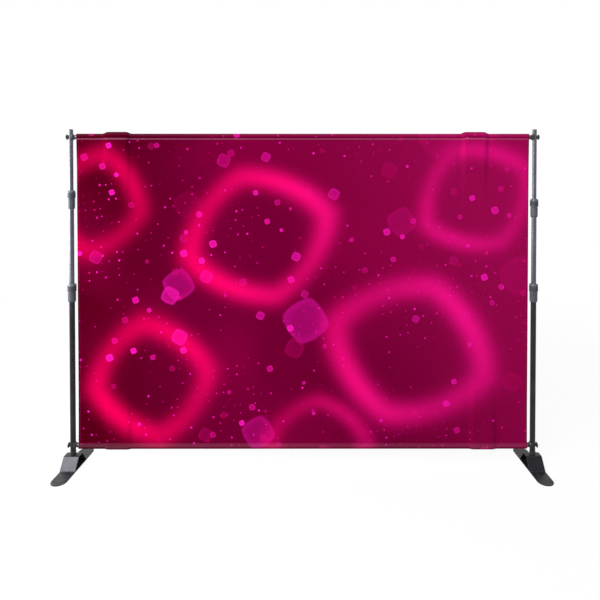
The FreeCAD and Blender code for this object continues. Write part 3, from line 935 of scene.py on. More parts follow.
def loft(name: str, rings: Sequence[Sequence[Point]], smooth_below: float = SMOOTH_BELOW) -> Piece:
    """Join rings of equal count into a closed piece with capped ends.

    Args:
        name: The piece's name.
        rings: The rings, in order.
        smooth_below: Angle in degrees under which edges are shaded smooth.

    Returns:
        The piece.
    """
    count = len(rings[0])
    points = [point for ring in rings for point in ring]
    last = (len(rings) - 1) * count
    faces = [face for start in range(0, last, count) for face in strip(start, start + count, count)]
    faces += [tuple(range(count)), tuple(range(last, last + count))]
    return mesh_object(name, points, faces, smooth_below)


def node_box(name: str) -> tuple[Vector, Vector]:
    """Lowest and highest corners of a node of the model, as vectors."""
    low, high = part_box(name)
    return Vector(low), Vector(high)


def upright_axis(name: str) -> Axis:
    """The axis of a node that stands upright, its foot at the node's lower end."""
    low, high = node_box(name)
    middle = (low + high) / 2
    return Axis((middle.x, middle.y, low.z), UP, RIGHT)


def level_axis(name: str) -> Axis:
    """The axis of a node that lies along a crossbar, its foot at the node's left end."""
    low, high = node_box(name)
    middle = (low + high) / 2
    return Axis((low.x, middle.y, middle.z), RIGHT, REAR)


def bored(piece: Piece, hole: Axis, radius: float, depth: float) -> None:
    """Drill a round hole through a piece.

    Args:
        piece: What is drilled.
        hole: Where the drill starts and the way it goes.
        radius: The hole's radius.
        depth: How far the drill goes.
    """
    stations = [Station(0.0, 0.0), Station(radius, 0.0), Station(radius, depth), Station(0.0, depth)]
    drill = turned("drill", hole, stations, 32)
    shaping = bmesh.new()
    shaping.from_mesh(drill.data)
    bmesh.ops.remove_doubles(shaping, verts=shaping.verts, dist=1e-6)
    bmesh.ops.recalc_face_normals(shaping, faces=shaping.faces)
    shaping.to_mesh(drill.data)
    shaping.free()
    cut = piece.modifiers.new("Hole", "BOOLEAN")
    cut.operation = "DIFFERENCE"
    cut.solver = "EXACT"
    cut.object = drill
    settle(piece)
    piece.data.set_sharp_from_angle(angle=math.radians(SMOOTH_BELOW))
    bpy.data.objects.remove(drill)


@dataclass(frozen=True)
class Tube:
    """A drawn steel tube with rounded rims, drilled for a knob's stud where one goes through."""

    node: str
    body: str
    radius: float
    stud_level: float | None = None
    wall: float = 0.0012
    rim: float = 0.0004
    hole: float = 0.0044
    drill_past: float = 0.004
    segments: int = 64

    def build(self) -> Piece:
        """Build the tube, and let it replace its node.

        Returns:
            The tube.
        """
        low, high = node_box(self.node)
        upright = high.z - low.z > high.x - low.x
        axis = upright_axis(self.node) if upright else level_axis(self.node)
        length = high.z - low.z if upright else high.x - low.x
        inner = self.radius - self.wall
        stations = rounded_profile([(inner, 0.0, self.rim), (self.radius, 0.0, self.rim),
                                    (self.radius, length, self.rim), (inner, length, self.rim)])
        piece = turned(f"{self.node}_drawn", axis, stations, self.segments)
        if self.stud_level is not None:
            reach = self.radius + self.drill_past
            start = (axis.foot[0] - reach, axis.foot[1], self.stud_level)
            bored(piece, Axis(start, RIGHT, REAR), self.hole, 2 * reach)
        return hand_over(piece, self.body, self.node)


@dataclass
class Coupling:
    """A twist lock of an upright: a collar with collet fingers, and the nut above it."""

    side: str
    level: str
    tube_radius: float
    inner_radius: float
    collar_height: float = 0.054
    neck: float = 0.003
    fingers: float = 0.030
    wall: float = 0.0058
    step: float = 0.0024
    lip: float = 0.0024
    bore_top: float = 0.050
    grips: int = 24
    flute: float = 0.0005
    collar_segments: int = 96
    nut_segments: int = 192

    def build(self) -> list[Piece]:
        """Build the collar and the nut, and let them replace their nodes.

        Returns:
            The pieces.
        """
        return [self._collar(), self._nut()]

    def _collar(self) -> Piece:
        """The collar, tapered at its foot, with a threaded neck and split fingers."""
        node = f"{self.side}_{self.level}_collar"
        outer = self.tube_radius + self.wall
        thread = outer - self.step
        bore = self.tube_radius + SNUG
        slim = self.inner_radius + RUNNING
        top = self.collar_height + self.neck + self.fingers
        corners = [
            (bore, 0.0, 0.0), (outer - 0.0022, 0.0, 0.0012), (outer - 0.0002, 0.009, 0.005),
            (outer, self.collar_height, 0.0012), (thread, self.collar_height, 0.0003),
            (thread, top, 0.0008), (slim, top, 0.0003), (slim, self.bore_top, 0.0), (bore, self.bore_top, 0.0),
        ]
        low, high = node_box(node)
        middle = (low + high) / 2
        axis = Axis((middle.x, middle.y, high.z - top), UP, RIGHT)
        piece = turned(f"{node}_moulded", axis, rounded_profile(corners), self.collar_segments)
        body = f"{self.side}_base" if self.level == "lower" else f"{self.side}_middle"
        return hand_over(piece, body, node)

    def _nut(self) -> Piece:
        """The twist nut, domed on top, with shallow grip flutes round its middle."""
        node = f"{self.side}_{self.level}_nut"
        low, high = node_box(node)
        height = high.z - low.z
        rim = self.tube_radius + self.wall + self.lip
        thread = self.tube_radius + self.wall - self.step + RUNNING
        mouth = self.inner_radius + RUNNING
        inside = self.fingers + RUNNING
        corners = [
            (thread, 0.0, 0.0), (rim, 0.0, 0.0012), (rim, height - 0.006, 0.005), (rim - 0.0048, height, 0.0035),
            (mouth, height, 0.0006), (mouth, inside, 0.0), (thread, inside, 0.0),
        ]
        stations = self._with_grip(rounded_profile(corners), rim, height)

        def fluted(angle: float, station: Station) -> float:
            """The radius with its flutes."""
            wave = 0.5 - 0.5 * math.cos(self.grips * angle)
            return station.radius - station.grip * self.flute * wave ** 3

        piece = turned(f"{node}_moulded", upright_axis(node), stations, self.nut_segments, fluted)
        return hand_over(piece, f"{node}_body", node)

    @staticmethod
    def _with_grip(stations: Sequence[Station], rim: float, height: float) -> list[Station]:
        """Add rings up the nut's straight side, where the flutes fade in and out.

        Args:
            stations: The plain profile.
            rim: The nut's outer radius.
            height: The nut's height.

        Returns:
            The profile with the flutes' rings.
        """
        made: list[Station] = []
        added = False
        for station in stations:
            made.append(station)
            if not added and abs(station.radius - rim) < 1e-6 and station.height < 0.005:
                for level, grip in ((0.005, 0.0), (0.0062, 0.7), (0.0075, 1.0), (height - 0.0155, 1.0),
                                    (height - 0.0138, 0.7), (height - 0.0125, 0.0)):
                    made.append(Station(rim, level, grip))
                added = True
        return made


@dataclass
class Knob:
    """A lobed thumb knob, its grip hollowed between the lobes, with its threaded stud."""

    side: str
    level: Level
    radius: float = 0.015
    lobes: int = 6
    hollow: float = 0.2
    hub: float = 0.0076
    hub_length: float = 0.004
    back: float = 0.003
    rim: float = 0.004
    bore: float = 0.0035
    crest: float = 0.00395
    root: float = 0.0034
    shank: float = 0.0037
    core: float = 0.0006
    pitch: float = 0.00125
    lead_in: float = 0.0014
    run_out: float = 0.003
    chamfer: float = 0.001
    head_segments: int = 144
    stud_segments: int = 32

    def build(self) -> list[Piece]:
        """Build the head and the stud, and let them replace their node.

        Returns:
            The pieces.
        """
        node = f"{self.level.word}_{self.side}_knob"
        low, high = node_box(node)
        sign = SIDES[self.side]
        inner_end, outer_end = (low.x, high.x) if sign > 0 else (high.x, low.x)
        middle = (low + high) / 2
        foot = outer_end - sign * (self.hub_length + self.back + self.rim)
        head, stud = (Axis((x, middle.y, middle.z), (float(sign), 0.0, 0.0), REAR) for x in (foot, inner_end))
        reach = abs(foot - inner_end) + self.hub_length
        return [hand_over(self._head(f"{node}_head", head), f"{node}_body", node),
                hand_over(self._stud(f"{node}_stud", stud, reach), f"{node}_body", node)]

    def _head(self, name: str, axis: Axis) -> Piece:
        """The head: a hub that widens into a lobed grip with a sunken face."""
        pinch = self.hub_length + self.back
        length = pinch + self.rim
        stations = rounded_rings([
            (self.bore, 0.0, 0.0, 0.0), (self.hub, 0.0, 0.0005, 0.0), (self.hub, self.hub_length * 0.6, 0.0007, 0.0),
            (self.hub * 1.1, self.hub_length, 0.0007, 0.15), (self.radius * 0.84, pinch - 0.0009, 0.0007, 0.75),
            (self.radius, pinch + 0.0004, 0.0009, 1.0), (self.radius, pinch + 0.0026, 0.0009, 1.0),
            (self.radius * 0.92, length - 0.0003, 0.0006, 0.9), (self.radius * 0.6, length, 0.0008, 0.35),
            (0.0056, length, 0.0003, 0.0), (0.0051, length - 0.0008, 0.0002, 0.0),
            (self.bore, length - 0.0008, 0.0, 0.0)], 4)

        def lobed(angle: float, station: Station) -> float:
            """The radius with the hollows between the lobes."""
            wave = 0.5 - 0.5 * math.cos(self.lobes * angle)
            return station.radius * (1 - self.hollow * station.grip * wave ** 1.6)

        return turned(name, axis, stations, self.head_segments, lobed)

    def _stud(self, name: str, axis: Axis, reach: float) -> Piece:
        """The stud, with the ridges of its thread."""
        rings = [Station(self.core, 0.0), Station(0.0030, 0.0), Station(self.shank, 0.0008)]
        level = self.lead_in
        while level < reach - self.run_out:
            rings += [Station(self.crest, level), Station(self.root, level + self.pitch / 2)]
            level += self.pitch
        rings += [Station(self.shank, reach - self.chamfer), Station(self.core, reach - self.chamfer)]
        return turned(name, axis, rings, self.stud_segments, smooth_below=80)


@dataclass
class Saddle:
    """The flared end fitting of a crossbar, hollowed to hug its upright."""

    side: str
    level: Level
    upright_radius: float
    reach: float = 0.030
    neck: float = 0.0105
    tall: float = 0.016
    wide: float = 0.014
    wrap: float = 0.007
    spigot: float = 0.0115
    spigot_length: float = 0.019
    shoulder: float = 0.007
    power: float = 4.2
    points: int = 64

    def build(self) -> list[Piece]:
        """Build the saddle, and let it replace its node.

        Returns:
            The piece, in a list.
        """
        node = f"{self.level.word}_{self.side}_saddle"
        low, high = node_box(node)
        sign = SIDES[self.side]
        middle = (low + high) / 2
        end = low.x if sign > 0 else high.x
        root = self.reach + self.spigot_length + self.shoulder
        axis_x = end + sign * root
        rings: list[list[Point]] = []

        def ring(out: float, tall: float, wide: float, power: float, hug: bool = False) -> list[Point]:
            """A rounded rectangle across the bar, out metres from the upright's axis."""
            points: list[Point] = []
            for index in range(self.points):
                angle = 2 * math.pi * index / self.points
                c, s = math.cos(angle), math.sin(angle)
                y = wide * math.copysign(abs(c) ** (2 / power), c)
                z = tall * math.copysign(abs(s) ** (2 / power), s)
                near = out
                if hug:
                    clear = self.upright_radius + SNUG
                    near = max(out, math.sqrt(max(0.0, clear * clear - y * y)))
                points.append((axis_x - sign * near, middle.y + y, middle.z + z))
            return points

        for out, tall, wide, power in (
                (root, self.spigot * 0.4, self.spigot * 0.4, 2.0), (root - 0.001, self.spigot, self.spigot, 2.0),
                (self.reach + 0.0002, self.spigot, self.spigot, 2.0),
                (self.reach, 0.0118, 0.0118, 2.2), (self.reach - 0.001, 0.0124, 0.0124, 2.2),
                (self.reach - 0.003, 0.0122, 0.0122, 2.3), (self.reach - 0.0045, self.neck, self.neck, 2.6),
                (self.reach - 0.008, self.neck, self.neck, 2.8), (self.reach - 0.012, 0.0125, 0.0118, 3.0),
                (0.0145, 0.0148, 0.0132, 3.4), (0.0128, self.tall - 0.0002, self.wide - 0.0001, 4.0),
                (0.0118, self.tall, self.wide, self.power), (0.0085, self.tall, self.wide, self.power)):
            rings.append(ring(out, tall, wide, power))
        for share in (1.0, 0.985, 0.95, 0.88, 0.78, 0.66, 0.54, 0.42, 0.3, 0.18, 0.07):
            rings.append(ring(self.wrap, self.tall * share, self.wide * share, self.power, hug=True))
        piece = loft(f"{node}_moulded", rings, 40)
        host = f"{self.side}_base" if self.level is Level.BOTTOM else f"{self.side}_top"
        return [hand_over(piece, host, node)]


@dataclass
class Foot:
    """A foot: a flat bar on the floor, and a strip bent into a bridge that is welded on it."""

    side: str
    width: float = 0.083
    length: float = 0.362
    plate: float = 0.004
    height: float = 0.065
    top: float = 0.040
    reach: float = 0.064
    bend: float = 0.005
    edge: float = 0.0008
    bolt_hole: float = 0.0044
    bend_steps: int = 7
    weld_leg: float = 0.0031
    weld_ripple: float = 0.00025
    weld_passes: int = 30
    weld_rings: int = 90
    end_steps: int = 32
    hold: float = 0.001
    middle: Vector = field(init=False)

    @property
    def slope(self) -> float:
        """The angle between the bridge's legs and the floor."""
        return math.atan2(self.height - self.plate, self.reach - self.top / 2)

    def build(self) -> list[Piece]:
        """Build the bar, the bridge and its welds, and let them replace their nodes.

        Returns:
            The pieces.
        """
        low, high = node_box(f"{self.side}_foot")
        self.middle = Vector(((low.x + high.x) / 2, (low.y + high.y) / 2, low.z))
        welds = [self._weld(sign) for sign in (-1, 1)]
        pieces = [self._bar(), self._bridge(), *welds]
        nodes = ("foot", "foot_bridge", "foot_bridge", "foot_bridge")
        return [hand_over(piece, f"{self.side}_foot_body", f"{self.side}_{node}")
                for piece, node in zip(pieces, nodes)]

    def _bar(self) -> Piece:
        """The flat bar, its round ends and its rims smoothed."""
        rings = []
        for level, inset in (
                (0.0, 0.0030), (0.0, 0.0006), (0.0002, 0.0002), (0.0006, 0.0), (self.plate - 0.0009, 0.0),
                (self.plate - 0.0003, 0.0003), (self.plate, 0.0010), (self.plate, 0.0030)):
            radius = self.width / 2 - inset
            straight = self.length / 2 - self.width / 2
            ring: list[Point] = []
            for end in (1, -1):
                for index in range(self.end_steps + 1):
                    angle = math.pi * index / self.end_steps
                    along = end * (straight + radius * math.sin(angle))
                    ring.append((self.middle.x + end * radius * math.cos(angle), self.middle.y + along,
                                 self.middle.z + level))
            rings.append(ring)
        return loft(f"{self.side}_foot_bar", rings)

    def _stations(self) -> list[tuple[tuple[float, float], tuple[float, float]]]:
        """Outer and inner points of the bridge's side view, from its rear end to its front end.

        Returns:
            Pairs of (y, z).
        """
        slope = self.slope
        outer_bend = self.bend + self.plate
        centre_y = self.top / 2 - outer_bend * math.tan(slope / 2)
        centre_z = self.height - outer_bend
        half = []
        for index in range(self.bend_steps + 1):
            turn = slope * index / self.bend_steps
            half.append(tuple((centre_y + radius * math.sin(turn), centre_z + radius * math.cos(turn))
                              for radius in (outer_bend, self.bend)))
        down = Vector((math.cos(slope), -math.sin(slope)))
        hold = tuple(tuple(Vector(point) + down * self.hold) for point in half[-1])
        ends = []
        for point in half[-1]:
            share = (point[1] - self.plate) / math.sin(slope)
            ends.append(tuple(Vector(point) + down * share))
        half += [hold, tuple(ends)]
        flat = tuple((centre_y - self.hold, point[1]) for point in half[0])
        half.insert(0, flat)
        mirrored = [tuple((-y, z) for y, z in pair) for pair in half]
        return list(reversed(half)) + mirrored

    def _bridge(self) -> Piece:
        """The bent strip, with smoothed edges and the hole for the foot's bolt."""
        wide, edge, soft = self.width / 2, self.edge, self.edge / self.plate
        outline = [(wide - 3 * edge, 1.0), (wide - edge, 1.0), (wide - 0.3 * edge, 1 - 0.3 * soft), (wide, 1 - soft),
                   (wide, soft), (wide - 0.3 * edge, 0.3 * soft), (wide - edge, 0.0), (wide - 3 * edge, 0.0)]
        outline += [(-across, share) for across, share in reversed(outline)]
        rings = []
        for outer, inner in self._stations():
            ring: list[Point] = []
            for across, share in outline:
                y = inner[0] + (outer[0] - inner[0]) * share
                z = inner[1] + (outer[1] - inner[1]) * share
                ring.append(tuple(self.middle + Vector((across, y, z))))
            rings.append(ring)
        piece = loft(f"{self.side}_foot_bridge_bent", rings)
        start = tuple(self.middle + Vector((0.0, 0.0, self.height - 2 * self.plate)))
        bored(piece, Axis(start, UP, RIGHT), self.bolt_hole, 3 * self.plate)
        return piece

    def _weld(self, sign: int) -> Piece:
        """The weld along a lower end of the bridge, front (-1) or rear (1), rippled by its passes."""
        rings = []
        for index in range(self.weld_rings + 1):
            share = index / self.weld_rings
            across = (self.width - 0.004) * (share - 0.5)
            taper = min(1.0, 8 * share, 8 * (1 - share)) ** 0.5
            ripple = self.weld_ripple * math.sin(2 * math.pi * share * self.weld_passes)
            leg = (self.weld_leg + ripple) * max(taper, 0.05)
            ring = []
            for out, up in ((-0.0006, -0.0005), (leg, -0.0005), (leg * 0.92, 0.0003), (leg * 0.5, leg * 0.42),
                            (leg * 0.16, leg * 0.86), (-0.0006, leg)):
                y = self.reach + out - max(0.0, up) / math.tan(self.slope)
                ring.append(tuple(self.middle + Vector((across, sign * y, self.plate + up))))
            rings.append(ring)
        return loft(f"{self.side}_foot_weld_{'rear' if sign > 0 else 'front'}", rings, 60)


@dataclass
class Upright:
    """One upright: tubes, couplings, cap, base plug and foot."""

    side: str
    plug_radius: float = 0.0155
    plug_seat: float = 0.019
    plug_bore: float = 0.0041
    core: float = 0.0006
    cap_height: float = 0.003
    cap_segments: int = 64
    plug_segments: int = 96

    def build(self) -> list[Piece]:
        """Build the upright's pieces and its foot.

        Returns:
            The pieces.
        """
        side = self.side
        lower, middle, top = TUBE_RADII
        studs = {level: sum(node_box(f"{level.word}_{side}_tube"), Vector()).z / 2 for level in Level}
        return [
            Tube(f"{side}_lower_tube", f"{side}_base", lower, studs[Level.BOTTOM]).build(),
            Tube(f"{side}_middle_tube", f"{side}_middle", middle).build(),
            Tube(f"{side}_top_tube", f"{side}_top", top, studs[Level.TOP]).build(),
            *Coupling(side, "lower", lower, middle).build(), *Coupling(side, "upper", middle, top).build(),
            self._cap(), self._plug(), *Foot(side).build()]

    def _cap(self) -> Piece:
        """The cap, a low dome with a rounded rim and its spigot in the tube."""
        node = f"{self.side}_top_cap"
        low, high = node_box(node)
        radius = TUBE_RADII[2]
        height = high.z - low.z
        seat = height - self.cap_height
        stations = rounded_profile([
            (self.core, 0.0, 0.0), (radius - 0.0018, 0.0, 0.0008), (radius - 0.0013, seat, 0.0),
            (radius, seat, 0.0003), (radius, height - 0.0006, 0.0009), (radius * 0.5, height - 0.0001, 0.003),
            (self.core, height, 0.0)])
        piece = turned(f"{node}_moulded", upright_axis(node), stations, self.cap_segments)
        return hand_over(piece, f"{self.side}_top", node)

    def _plug(self) -> Piece:
        """The base plug: a flange with rounded rims and a ring groove, and its spigot in the tube."""
        node = f"{self.side}_base_plug"
        low, high = node_box(node)
        radius, seat, bore = self.plug_radius, self.plug_seat, self.plug_bore
        inner = TUBE_RADII[0] - Tube.wall - SNUG
        stations = rounded_profile([
            (bore, 0.0, 0.0), (radius, 0.0, 0.0008), (radius, 0.0060, 0.0005), (radius - 0.0006, 0.0070, 0.0003),
            (radius, 0.0080, 0.0005), (radius, seat, 0.0012), (inner, seat, 0.0), (inner, high.z - low.z, 0.0008),
            (bore, high.z - low.z, 0.0)])
        piece = turned(f"{node}_moulded", upright_axis(node), stations, self.plug_segments)
        return hand_over(piece, f"{self.side}_base", node)


def crossbar_tubes() -> list[Piece]:
    """Build the outer tubes and the extension tubes of both crossbars.

    Returns:
        The tubes.
    """
    tubes = []
    for level in Level:
        for side in SIDES:
            host = f"{side}_base" if level is Level.BOTTOM else f"{side}_top"
            tubes.append(Tube(f"{level.word}_{side}_tube", f"{level.word}_bar", TUBE_RADII[0]).build())
            tubes.append(Tube(f"{level.word}_{side}_extension", host, TUBE_RADII[1]).build())
    return tubes


@dataclass(frozen=True)
class Bulge:
    """Where a pocket widens over a coupling, from one end to the other."""

    start: float
    end: float


@dataclass(frozen=True)
class Seat:
    """Where a pocket's row of stitches lies round a tube or a coupling, and how loose the cloth is past it."""

    line: float
    front: float
    loose: float


@dataclass(frozen=True)
class Pocket:
    """How a pocket hangs on its crossbar, in metres from the bar's axis."""

    on_tube: Seat
    on_coupling: Seat

    def seat(self, swell: float) -> Seat:
        """The seat between the two, at a swell from 0 to 1."""
        parts = [first + (second - first) * swell
                 for first, second in ((self.on_tube.line, self.on_coupling.line),
                                       (self.on_tube.front, self.on_coupling.front),
                                       (self.on_tube.loose, self.on_coupling.loose))]
        return Seat(*parts)


@dataclass
class BannerCloth:
    """The cloth, cut in one piece and sewn into a pocket round each crossbar."""

    half_width: float = 1.219
    tube: float = TUBE_RADII[0]
    coupling: float = 0.0225
    coupling_length: float = 0.1
    slack: float = 0.0006
    ramp: float = 0.028
    lean_run: float = 0.10
    opening: float = 0.2
    tail: float = 0.012
    thickness: float = 0.0006
    drawn_in: float = 0.0045
    first_row: float = 0.002
    crowding: float = 0.035
    sway: float = 0.0012
    hem_fold: float = 0.0008
    behind: float = 1.2
    spread: float = 0.6
    settling: float = 1.5
    crease: float = 0.00045
    columns: int = 300
    rows: int = 90
    arc_steps: int = 20
    flat_length: float = 0.0
    seams: tuple[float, float] = (0.0, 0.0)
    pockets = {Level.TOP: Pocket(Seat(0.011, -0.0105, 0.0032), Seat(0.0121, -0.0198, 0.0048)),
               Level.BOTTOM: Pocket(Seat(0.013, -0.008, 0.0055), Seat(0.0175, -0.0165, -0.0006))}

    def __post_init__(self) -> None:
        """Read the crossbars' places from the model."""
        self.levels: dict[Level, float] = {}
        self.bulges: dict[Level, list[Bulge]] = {}
        for level in Level:
            low, high = node_box(f"{level.word}_left_tube")
            self.levels[level] = (low.z + high.z) / 2
            spans = []
            for side, sign in SIDES.items():
                nut_low, nut_high = node_box(f"{level.word}_{side}_nut")
                start = nut_low.x if sign < 0 else nut_high.x - self.coupling_length
                spans.append(Bulge(start, start + self.coupling_length))
            self.bulges[level] = spans

    def swell(self, level: Level, x: float) -> float:
        """How far the pocket has widened at x, from 0 on the tube to 1 on a coupling."""
        most = 0.0
        for bulge in self.bulges[level]:
            outside = max(bulge.start - x, x - bulge.end, 0.0)
            share = max(0.0, 1.0 - outside / self.ramp)
            most = max(most, share * share * (3 - 2 * share))
        return most

    def section(self, level: Level, x: float) -> list[tuple[float, float]]:
        """The pocket's outline at x, from its hem behind round the bar to the seam in front.

        Args:
            level: Which crossbar.
            x: Place along it.

        Returns:
            Points of (y, z), of which the last is on the row of stitches.
        """
        away = level.value
        share = self.swell(level, x)
        seat = self.pockets[level].seat(share)
        radius = self.tube + self.slack + (self.coupling - self.tube) * share
        centre = self.levels[level]
        back = self.thickness * self.behind
        points = [(self.lean(level, x, seat.line + run) + back, centre + away * (seat.line + run))
                  for run in (self.tail, self.tail / 2, self.hem_fold)]
        start = math.atan2(seat.front, seat.line) + self.opening
        for index in range(self.arc_steps + 1):
            turn = start + 2 * (math.pi - self.opening) * index / self.arc_steps
            out = seat.loose * max(0.0, -math.cos(turn)) ** 2
            points.append((radius * math.sin(turn), centre + away * (radius * math.cos(turn) - out)))
        points.append((seat.front, centre + away * seat.line))
        return points

    def lean(self, level: Level, x: float, reach: float) -> float:
        """How far the panel stands before its plane, at x and a distance from the bar's axis."""
        share = self.swell(level, x)
        seat = self.pockets[level].seat(share)
        past = max(0.0, reach - seat.line) / (self.lean_run * (1 + self.spread * share))
        return seat.front * math.exp(-past ** self.settling)

    def build(self) -> Piece:
        """Make the cloth and sew it round the bars.

        Returns:
            The cloth.
        """
        xs = [-self.half_width + 2 * self.half_width * column / self.columns for column in range(self.columns + 1)]
        lines = [self._column(x) for x in xs]
        count = len(lines[0])
        stitched = self.arc_steps + 4
        marks = (0, stitched, count - 1 - stitched, count - 1)
        runs = [self._runs(line) for line in lines]
        means = [sum(run[mark] for run in runs) / len(runs) for mark in marks]
        self.flat_length = means[-1]
        self.seams = (means[1], means[2])
        faces = []
        for column in range(self.columns):
            for index in range(count - 1):
                here = column * count + index
                faces.append((here, here + count, here + count + 1, here + 1))
        mesh = bpy.data.meshes.new("banner_cloth")
        mesh.from_pydata([point for line in lines for point in line], [], faces)
        layer = mesh.uv_layers.new(name="Cut")
        for loop in mesh.loops:
            column, index = divmod(loop.vertex_index, count)
            part = next(number for number in (2, 1, 0) if index >= marks[number])
            first, last = runs[column][marks[part]], runs[column][marks[part + 1]]
            share = (runs[column][index] - first) / (last - first)
            level = means[part] + (means[part + 1] - means[part]) * share
            layer.data[loop.index].uv = (xs[column] + self.half_width, level)
        mesh.shade_smooth()
        cloth = in_scene("banner_cloth", mesh)
        thick = cloth.modifiers.new("Thickness", "SOLIDIFY")
        thick.thickness = self.thickness
        thick.offset = 0.0
        settle(cloth)
        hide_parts("banner")
        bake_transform(cloth)
        return cloth

    def _column(self, x: float) -> list[Point]:
        """The cloth's line at x, from the end of the lower hem to the end of the upper one."""
        lower = self.section(Level.BOTTOM, x)
        upper = self.section(Level.TOP, x)
        low = lower[-1][1] + self.first_row
        high = upper[-1][1] - self.first_row
        edge = x / self.half_width

        def drawn_in(y: float) -> float:
            """The place across, pulled in at the cloth's edges where it stands forward."""
            return x - self.drawn_in * edge ** 9 * min(1.0, max(0.0, -y / self.tube))

        line: list[Point] = [(drawn_in(y), y, z) for y, z in lower]
        for index in range(self.rows + 1):
            share = index / self.rows
            eased = share - self.crowding * math.sin(2 * math.pi * share)
            z = low + (high - low) * eased
            arch = 4 * share * (1 - share)
            depth = self.sway * math.sin(9.0 * x + 2.2 * share) * arch + self._creases(x, share)
            depth += self.lean(Level.BOTTOM, x, z - self.levels[Level.BOTTOM])
            depth += self.lean(Level.TOP, x, self.levels[Level.TOP] - z)
            line.append((drawn_in(depth), depth, z))
        line += [(drawn_in(y), y, z) for y, z in reversed(upper)]
        return line

    @staticmethod
    def _runs(line: Sequence[Point]) -> list[float]:
        """Length along a column's line up to each of its points."""
        runs = [0.0]
        for before, after in zip(line, line[1:]):
            runs.append(runs[-1] + math.hypot(after[1] - before[1], after[2] - before[2]))
        return runs

    def _creases(self, x: float, share: float) -> float:
        """Shallow upright creases that start at each seam and fade into the panel."""
        near_top = math.exp(-((1 - share) / 0.035) ** 1.3)
        near_foot = math.exp(-(share / 0.045) ** 1.3)
        top = math.sin(71 * x + 1.7 * math.sin(13 * x)) + 0.5 * math.sin(127 * x + 0.6)
        foot = math.sin(63 * x + 2.1 * math.sin(11 * x + 1)) + 0.5 * math.sin(113 * x)
        fade = min(1.0, (1 - share) * 60, share * 60)
        return self.crease * (near_top * top + near_foot * foot) * fade


@dataclass(frozen=True)
class Lamp:
    """A soft area lamp."""

    name: str
    place: Point
    aim: Point
    size: tuple[float, float]
    power: float


def seen(graph: Graph) -> Output:
    """A mask of the rays that the camera sees a surface by, straight or in another surface.

    Args:
        graph: The nodes that need it.

    Returns:
        The mask.
    """
    rays = graph.node("ShaderNodeLightPath")
    mask = graph.maths("MAXIMUM", rays.outputs["Is Camera Ray"], rays.outputs["Is Glossy Ray"])
    return graph.maths("MAXIMUM", mask, rays.outputs["Is Transmission Ray"])


